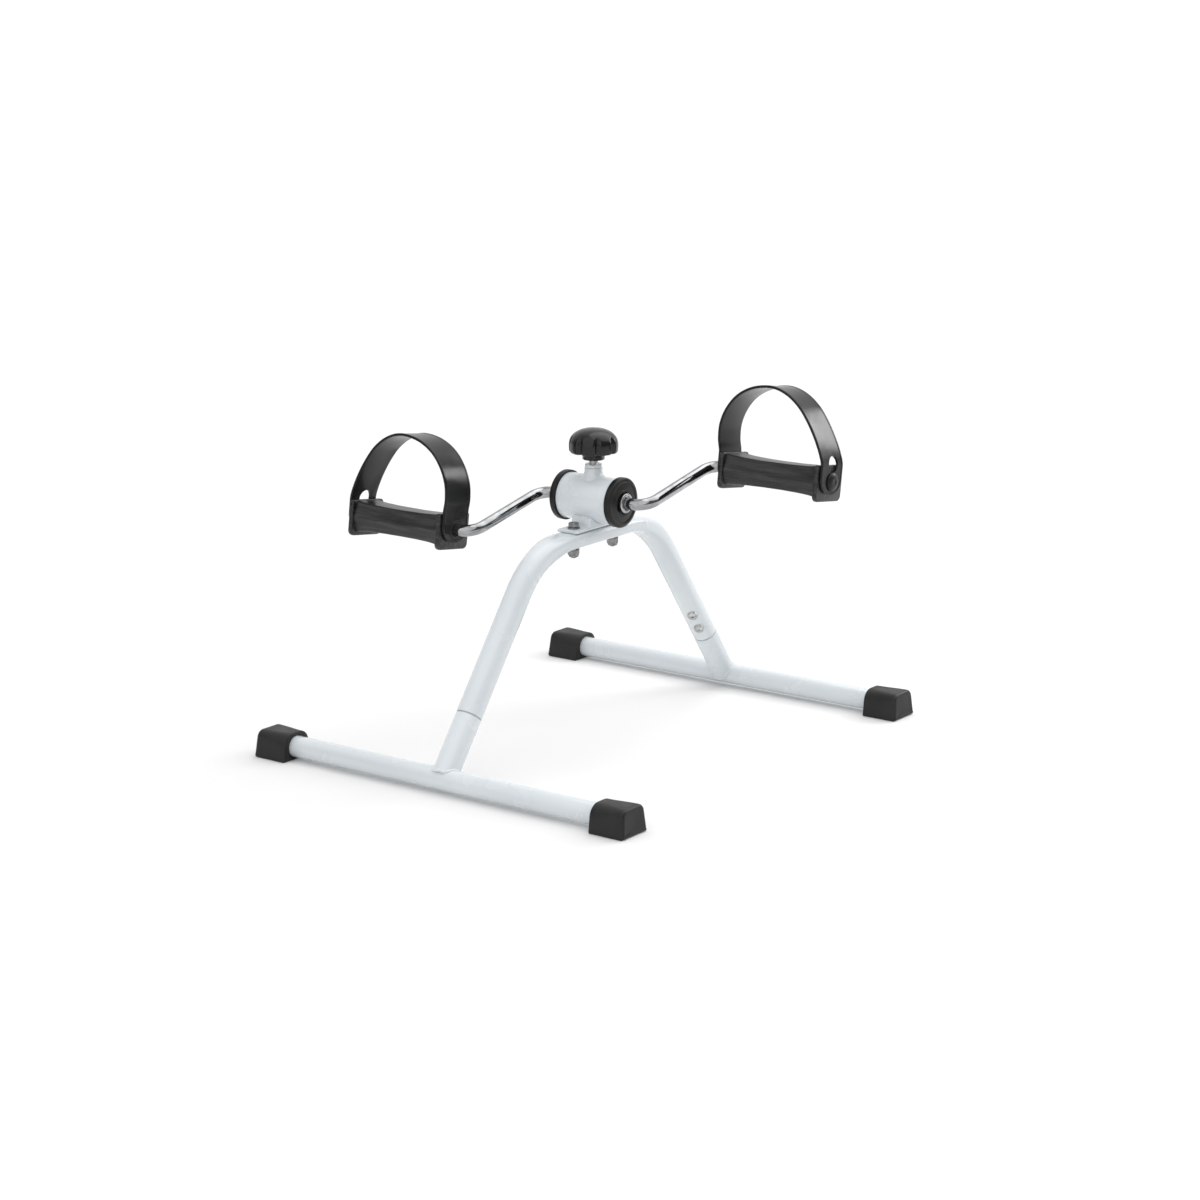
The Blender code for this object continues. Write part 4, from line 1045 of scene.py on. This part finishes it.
PEDAL_TILT = radians(-8.0)
PEDAL_INNER_X = 97.0 * MM
PEDAL_OUTER_X = 216.3 * MM
PLATE_THICKNESS = 5.0 * MM
PLATE_HALF = 24.3 * MM
PLATE_TOP = 16.6 * MM
PLATE_BOTTOM = -20.6 * MM
CLEAR = 0.3 * MM
STRAP_THICKNESS = 2.4 * MM
STRAP_HALF = 20.0 * MM
STRAP_CENTRE_Y = -1.5 * MM
STRAP_FOOT_Z = -13.0 * MM
STRAP_RISE_Z = 17.5 * MM
STRAP_LEAN = {-1: 0.05, 1: 0.11}
STRAP_RISE = {-1: 1.0, 1: 0.98}
STRAP_END_R = 16.0 * MM
# The strap's outer face between its two upright ends, in millimetres in the pedal's X-Z plane.
STRAP_BEND = ((92.6, 31.0), (94.1, 47.0), (101.0, 63.2), (113.0, 77.6), (129.0, 87.2), (146.0, 91.4),
              (161.0, 91.0), (176.0, 85.2), (189.5, 74.6), (200.4, 60.4), (209.6, 44.2), (216.0, 29.0))


def pedal_frame(side):
    """Maps the pedal's own frame (X outwards, Y across the foot, Z up) to the row frame."""
    return Matrix.Translation(crank_point(0.0, CRANK_R, side)) @ Matrix.Rotation(PEDAL_TILT, 4, "X")


def block_outline(t):
    """The block's rounded six-sided section; t runs from -1 to 1 along the pedal."""
    end = 0.55 * t * t + 0.45 * t ** 8
    ridge = 22.3 * MM * (1.0 - 0.075 * (1.0 - end))
    top = 15.9 * MM * (1.0 - 0.17 * (1.0 - end))
    bottom = -16.8 * MM * (1.0 - 0.17 * (1.0 - end))
    flat = 18.0 * MM * (1.0 - 0.06 * (1.0 - end))
    corners = [(ridge, -1.5 * MM), (flat, top), (-flat, top), (-ridge, -1.5 * MM), (-flat, bottom),
               (flat, bottom)]
    return rounded(corners, in_mm(1.6, 2.4, 2.4, 1.6, 2.2, 2.2), 5)


def bore_for_rod(obj, side):
    """Bores a pedal piece along the rod's line, wider round the clip, to just past the rod's end."""
    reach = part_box("crank_rod")[1].x + 1.0 * MM
    low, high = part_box("right_spindle_clip")
    pocket_r = (high.z - low.z) / 2.0 + 0.5 * MM
    pocket = low.x - 0.5 * MM
    outline = [(SPINDLE_BORE_R, side * (PEDAL_INNER_X - 5.0 * MM)), (SPINDLE_BORE_R, side * pocket),
               (pocket_r, side * pocket), (pocket_r, side * reach)]
    if side < 0:
        outline.reverse()
    tool = lathe(f"{obj.name}_bore", outline, crank_point(0.0, CRANK_R, side), X_AXIS, 48)
    apply_difference(obj, [tool])


def pedal_block(hand, side):
    """The waisted block, with a faint unevenness left by moulding."""
    start = PEDAL_INNER_X + PLATE_THICKNESS + 0.1 * MM
    finish = PEDAL_OUTER_X - PLATE_THICKNESS - 0.1 * MM
    to_row = pedal_frame(side)
    rows = []
    steps = 44
    for k in range(steps + 1):
        t = 2.0 * k / steps - 1.0
        x = side * (start + (finish - start) * k / steps)
        row = []
        for point in block_outline(t):
            wave = noise.noise(Vector((x * 70.0, point.x * 260.0, point.y * 260.0 + side * 9.0)))
            radial = Vector((0.0, point.x, point.y)).normalized() * (0.16 * MM * wave)
            row.append(to_row @ (Vector((x, point.x, point.y)) + radial))
        rows.append(row)
    block = grid_object(f"{hand}_pedal_block_skin", rows, sharp=50.0)
    bore_for_rod(block, side)
    place(block, f"{hand}_pedal", PEDAL, "black_plastic", f"{hand}_pedal_block")


def pedal_plate(hand, side, which):
    """An end plate with rounded corners and eased edges; the inner one is bored for the rod."""
    node = f"{hand}_pedal_{which}_plate"
    inner = which == "inner"
    start = PEDAL_INNER_X if inner else PEDAL_OUTER_X - PLATE_THICKNESS
    finish = start + PLATE_THICKNESS
    corners = [(PLATE_HALF, PLATE_TOP), (-PLATE_HALF, PLATE_TOP), (-PLATE_HALF, PLATE_BOTTOM),
               (PLATE_HALF, PLATE_BOTTOM)]
    outline = rounded(corners, in_mm(2.5, 2.5, 6.0, 6.0), 8)
    to_row = pedal_frame(side)
    edge = 1.1 * MM
    near = 0.3 * edge
    rows = []
    for x, inset in ((start, edge), (start + near, near), (start + edge, 0.0), (finish - edge, 0.0),
                     (finish - near, near), (finish, edge)):
        rows.append([to_row @ Vector((side * x, y, z)) for y, z in inset_outline(outline, inset)])
    plate = grid_object(f"{node}_skin", rows, sharp=50.0)
    if inner:
        bore_for_rod(plate, side)
    place(plate, f"{hand}_pedal", PEDAL, "black_plastic", node)


def strap_points():
    """The strap's outer face in the pedal's X-Z plane, evenly smooth from end to end."""
    inner = PEDAL_INNER_X - CLEAR - STRAP_THICKNESS
    outer = PEDAL_OUTER_X + CLEAR + STRAP_THICKNESS
    guides = [Vector((inner, STRAP_RISE_Z - 14.0 * MM)), Vector((inner, STRAP_RISE_Z))]
    guides += [Vector((x * MM, z * MM)) for x, z in STRAP_BEND]
    guides += [Vector((outer, STRAP_RISE_Z)), Vector((outer, STRAP_RISE_Z - 14.0 * MM))]
    path = []
    steps = 7
    for before, a, b, after in zip(guides, guides[1:], guides[2:], guides[3:]):
        for k in range(steps):
            t = k / steps
            pull = (b - before) * 0.5
            push = (after - a) * 0.5
            path.append(a * (2 * t ** 3 - 3 * t ** 2 + 1) + pull * (t ** 3 - 2 * t ** 2 + t)
                        + b * (3 * t ** 2 - 2 * t ** 3) + push * (t ** 3 - t ** 2))
    path.append(guides[-2])
    drop = STRAP_RISE_Z - STRAP_FOOT_Z
    count = 18
    first = [Vector((inner, STRAP_FOOT_Z + drop * k / count)) for k in range(count)]
    last = [Vector((outer, STRAP_RISE_Z - drop * (k + 1) / count)) for k in range(count)]
    return first + path + last


def pedal_strap(hand, side):
    """The strap over the foot: raised rims, rounded ends, and holes for spindle, peg and adjustment."""
    node = f"{hand}_pedal_strap"
    to_row = pedal_frame(side)
    face = strap_points()
    count = len(face)
    lengths = [0.0]
    for a, b in zip(face, face[1:]):
        lengths.append(lengths[-1] + (b - a).length)
    corner = STRAP_END_R
    rows = []
    for i, point in enumerate(face):
        tangent = (face[min(i + 1, count - 1)] - face[max(i - 1, 0)]).normalized()
        outward = Vector((-tangent.y, tangent.x))
        above = max(point.y - STRAP_RISE_Z, 0.0)
        shift = STRAP_CENTRE_Y - STRAP_LEAN[side] * above
        drop = above * (1.0 - STRAP_RISE[side])
        from_end = min(lengths[i], lengths[-1] - lengths[i])
        narrow = 0.0
        if from_end < corner:
            narrow = corner - sqrt(max(corner ** 2 - (corner - from_end) ** 2, 0.0))
        half = STRAP_HALF - narrow
        half_thick = STRAP_THICKNESS / 2.0
        middle = point - outward * half_thick
        lip = half_thick + 0.4 * MM
        rim = half - 2.3 * MM
        right = [(half, lip), (rim, lip), (rim - 0.7 * MM, half_thick)]
        corners = right + [(-y, z) for y, z in reversed(right)] + [(-half, -half_thick), (half, -half_thick)]
        section = rounded(corners, in_mm(0.9, 0.3, 0.3, 0.3, 0.3, 0.9, 0.9, 0.9))
        row = []
        for across, through in section:
            spot = middle + outward * through
            row.append(to_row @ Vector((side * spot.x, shift + across, spot.y - drop)))
        rows.append(row)
    strap = grid_object(f"{node}_skin", rows, sharp=60.0)
    tools = []
    for name, radius, z, low, high in (("spindle", 10.4, 0.0, 80.0, 110.0), ("peg", 4.7, 0.0, 205.0, 235.0),
                                       ("adjusting", 8.6, 17.4, 205.0, 235.0)):
        tools.append(lathe(f"{hand}_{name}_hole", points(0.0, (radius, low), (radius, high)),
                           to_row @ Vector((0.0, 0.0, z * MM)), (side, 0, 0), 56))
    apply_difference(strap, tools)
    place(strap, f"{hand}_pedal", STRAP, "black_rubber", node)


def pedal_button(hand, side):
    """The round button that holds the strap's outer end."""
    node = f"{hand}_strap_button"
    finish = reach_of(node)[1]
    seat = finish - 3.4 * MM
    profile = points(finish, (1.2, -0.5), (2.2, -0.35), (3.0, -0.02), (4.8, -0.1), (6.8, -0.65), (8.3, -1.4),
                     (9.2, -2.2), (9.6, -2.9))
    profile += points(seat, (9.6, 0.1), (9.3, -0.2), (4.5, -0.2), (4.5, -6.0))
    turned(node, f"{hand}_pedal", CAP, "black_plastic", profile, crank_point(0.0, CRANK_R, side),
           (side, 0, 0), sharp=50.0)


def pedal_bush(hand, side):
    """The flanged bush in which the rod turns."""
    bore = ROD_R + 0.2 * MM
    outline = points(PEDAL_INNER_X, (10.2, -2.9), (10.2, 0.0), (8.6, 0.0), (8.6, 6.0))
    outline += [(bore, PEDAL_INNER_X + 6.0 * MM), (bore, PEDAL_INNER_X - 2.9 * MM)]
    turned(f"{hand}_pedal_bush", f"{hand}_pedal", CAP, "black_plastic",
           rounded(outline, in_mm(0.7, 0.0, 0.0, 0.0, 0.0, 0.4)), crank_point(0.0, CRANK_R, side),
           (side, 0, 0), closed=True)


# Carried-over CAD nodes

def hidden_nodes():
    """The CAD nodes inside the hub and the pedals keep their meshes and get materials."""
    for name, material in (("friction_drum", STEEL), ("brake_pad", FELT), ("brake_shoe", NYLON),
                           ("left_spindle_clip", ZINC), ("right_spindle_clip", ZINC)):
        mesh = frame["nodes"][name].data
        mesh.materials.clear()
        mesh.materials.append(material)


# Floor and light

FLOOR_HALF = 60.0
FLOOR_DROP = 0.2 * MM
BACKDROP_TOWARDS = (-0.45, 0.72, 0.42)
BACKDROP_LEVELS = ((0.0, 0.19), (0.26, 0.26), (0.56, 0.80), (1.0, 0.95))


def floor():
    bm = bmesh.new()
    bmesh.ops.create_grid(bm, x_segments=2, y_segments=2, size=FLOOR_HALF)
    obj = new_object("studio_floor", bm)
    obj.location.z = -FLOOR_DROP
    s = Shader("studio_floor")
    s.colour(s.mix(s.noise(3.0, 2.0), (0.780, 0.776, 0.776), (0.786, 0.782, 0.782)))
    s.fixed(Roughness=1.0, Specular_IOR_Level=0.0, Emission_Color=(1.0, 1.0, 1.0, 1.0),
            Emission_Strength=0.05)
    obj.data.materials.append(s.material)


def world():
    """A dim studio with a bright backdrop behind the object and a soft glow overhead."""
    made = bpy.data.worlds.new("studio")
    made.use_nodes = True
    bpy.context.scene.world = made
    tree = made.node_tree
    background = tree.nodes["Background"]
    coords = tree.nodes.new("ShaderNodeTexCoord")
    facing = tree.nodes.new("ShaderNodeVectorMath")
    facing.operation = "DOT_PRODUCT"
    facing.inputs[1].default_value = Vector(BACKDROP_TOWARDS).normalized()
    ramp = tree.nodes.new("ShaderNodeValToRGB")
    tree.links.new(coords.outputs["Generated"], facing.inputs[0])
    tree.links.new(facing.outputs["Value"], ramp.inputs["Fac"])
    tree.links.new(ramp.outputs["Color"], background.inputs["Color"])
    elements = ramp.color_ramp.elements
    elements[0].position = BACKDROP_LEVELS[0][0]
    elements[1].position = BACKDROP_LEVELS[-1][0]
    for position, _ in BACKDROP_LEVELS[1:-1]:
        elements.new(position)
    for element, (_, level) in zip(elements, BACKDROP_LEVELS):
        element.color = (level, level, level, 1.0)
    background.inputs["Strength"].default_value = 1.0


def new_light(name, kind, power, **settings):
    data = bpy.data.lights.new(name, kind)
    data.energy = power
    for key, value in settings.items():
        setattr(data, key, value)
    light = bpy.data.objects.new(name, data)
    link(light)
    return light


def sun(name, towards, strength, angle):
    light = new_light(name, "SUN", strength, angle=radians(angle))
    light.rotation_euler = Vector(towards).to_track_quat("Z", "Y").to_euler()


def lights():
    sun("overhead", (0.30, 0.42, 1.0), 1.65, 72.0)
    sun("front", (0.10, -1.0, 0.80), 1.4, 84.0)
    softbox = new_light("behind_right", "AREA", 3.4, shape="RECTANGLE", size=0.50, size_y=0.34)
    location = Vector((0.60, 1.00, 0.66))
    aim = Vector((0.05, 0.0, 0.28)) - location
    softbox.matrix_world = Matrix.Translation(location) @ aim.to_track_quat("-Z", "Y").to_matrix().to_4x4()


bpy.context.scene.view_settings.view_transform = "Standard"
make_camera()
world()
lights()
floor()
floor_tubes()
leg_stubs()
leg_welds()
arch_tube()
for where in SIDES:
    for hand in HANDS:
        foot(where, hand)
leg_screws()
saddle_bolts()
hub_barrel()
hub_saddle()
hub_caps()
boss()
tension_screw()
knob()
crank()
for hand, side in HANDS.items():
    pedal_block(hand, side)
    pedal_plate(hand, side, "inner")
    pedal_plate(hand, side, "outer")
    pedal_strap(hand, side)
    pedal_button(hand, side)
    pedal_bush(hand, side)
hidden_nodes()
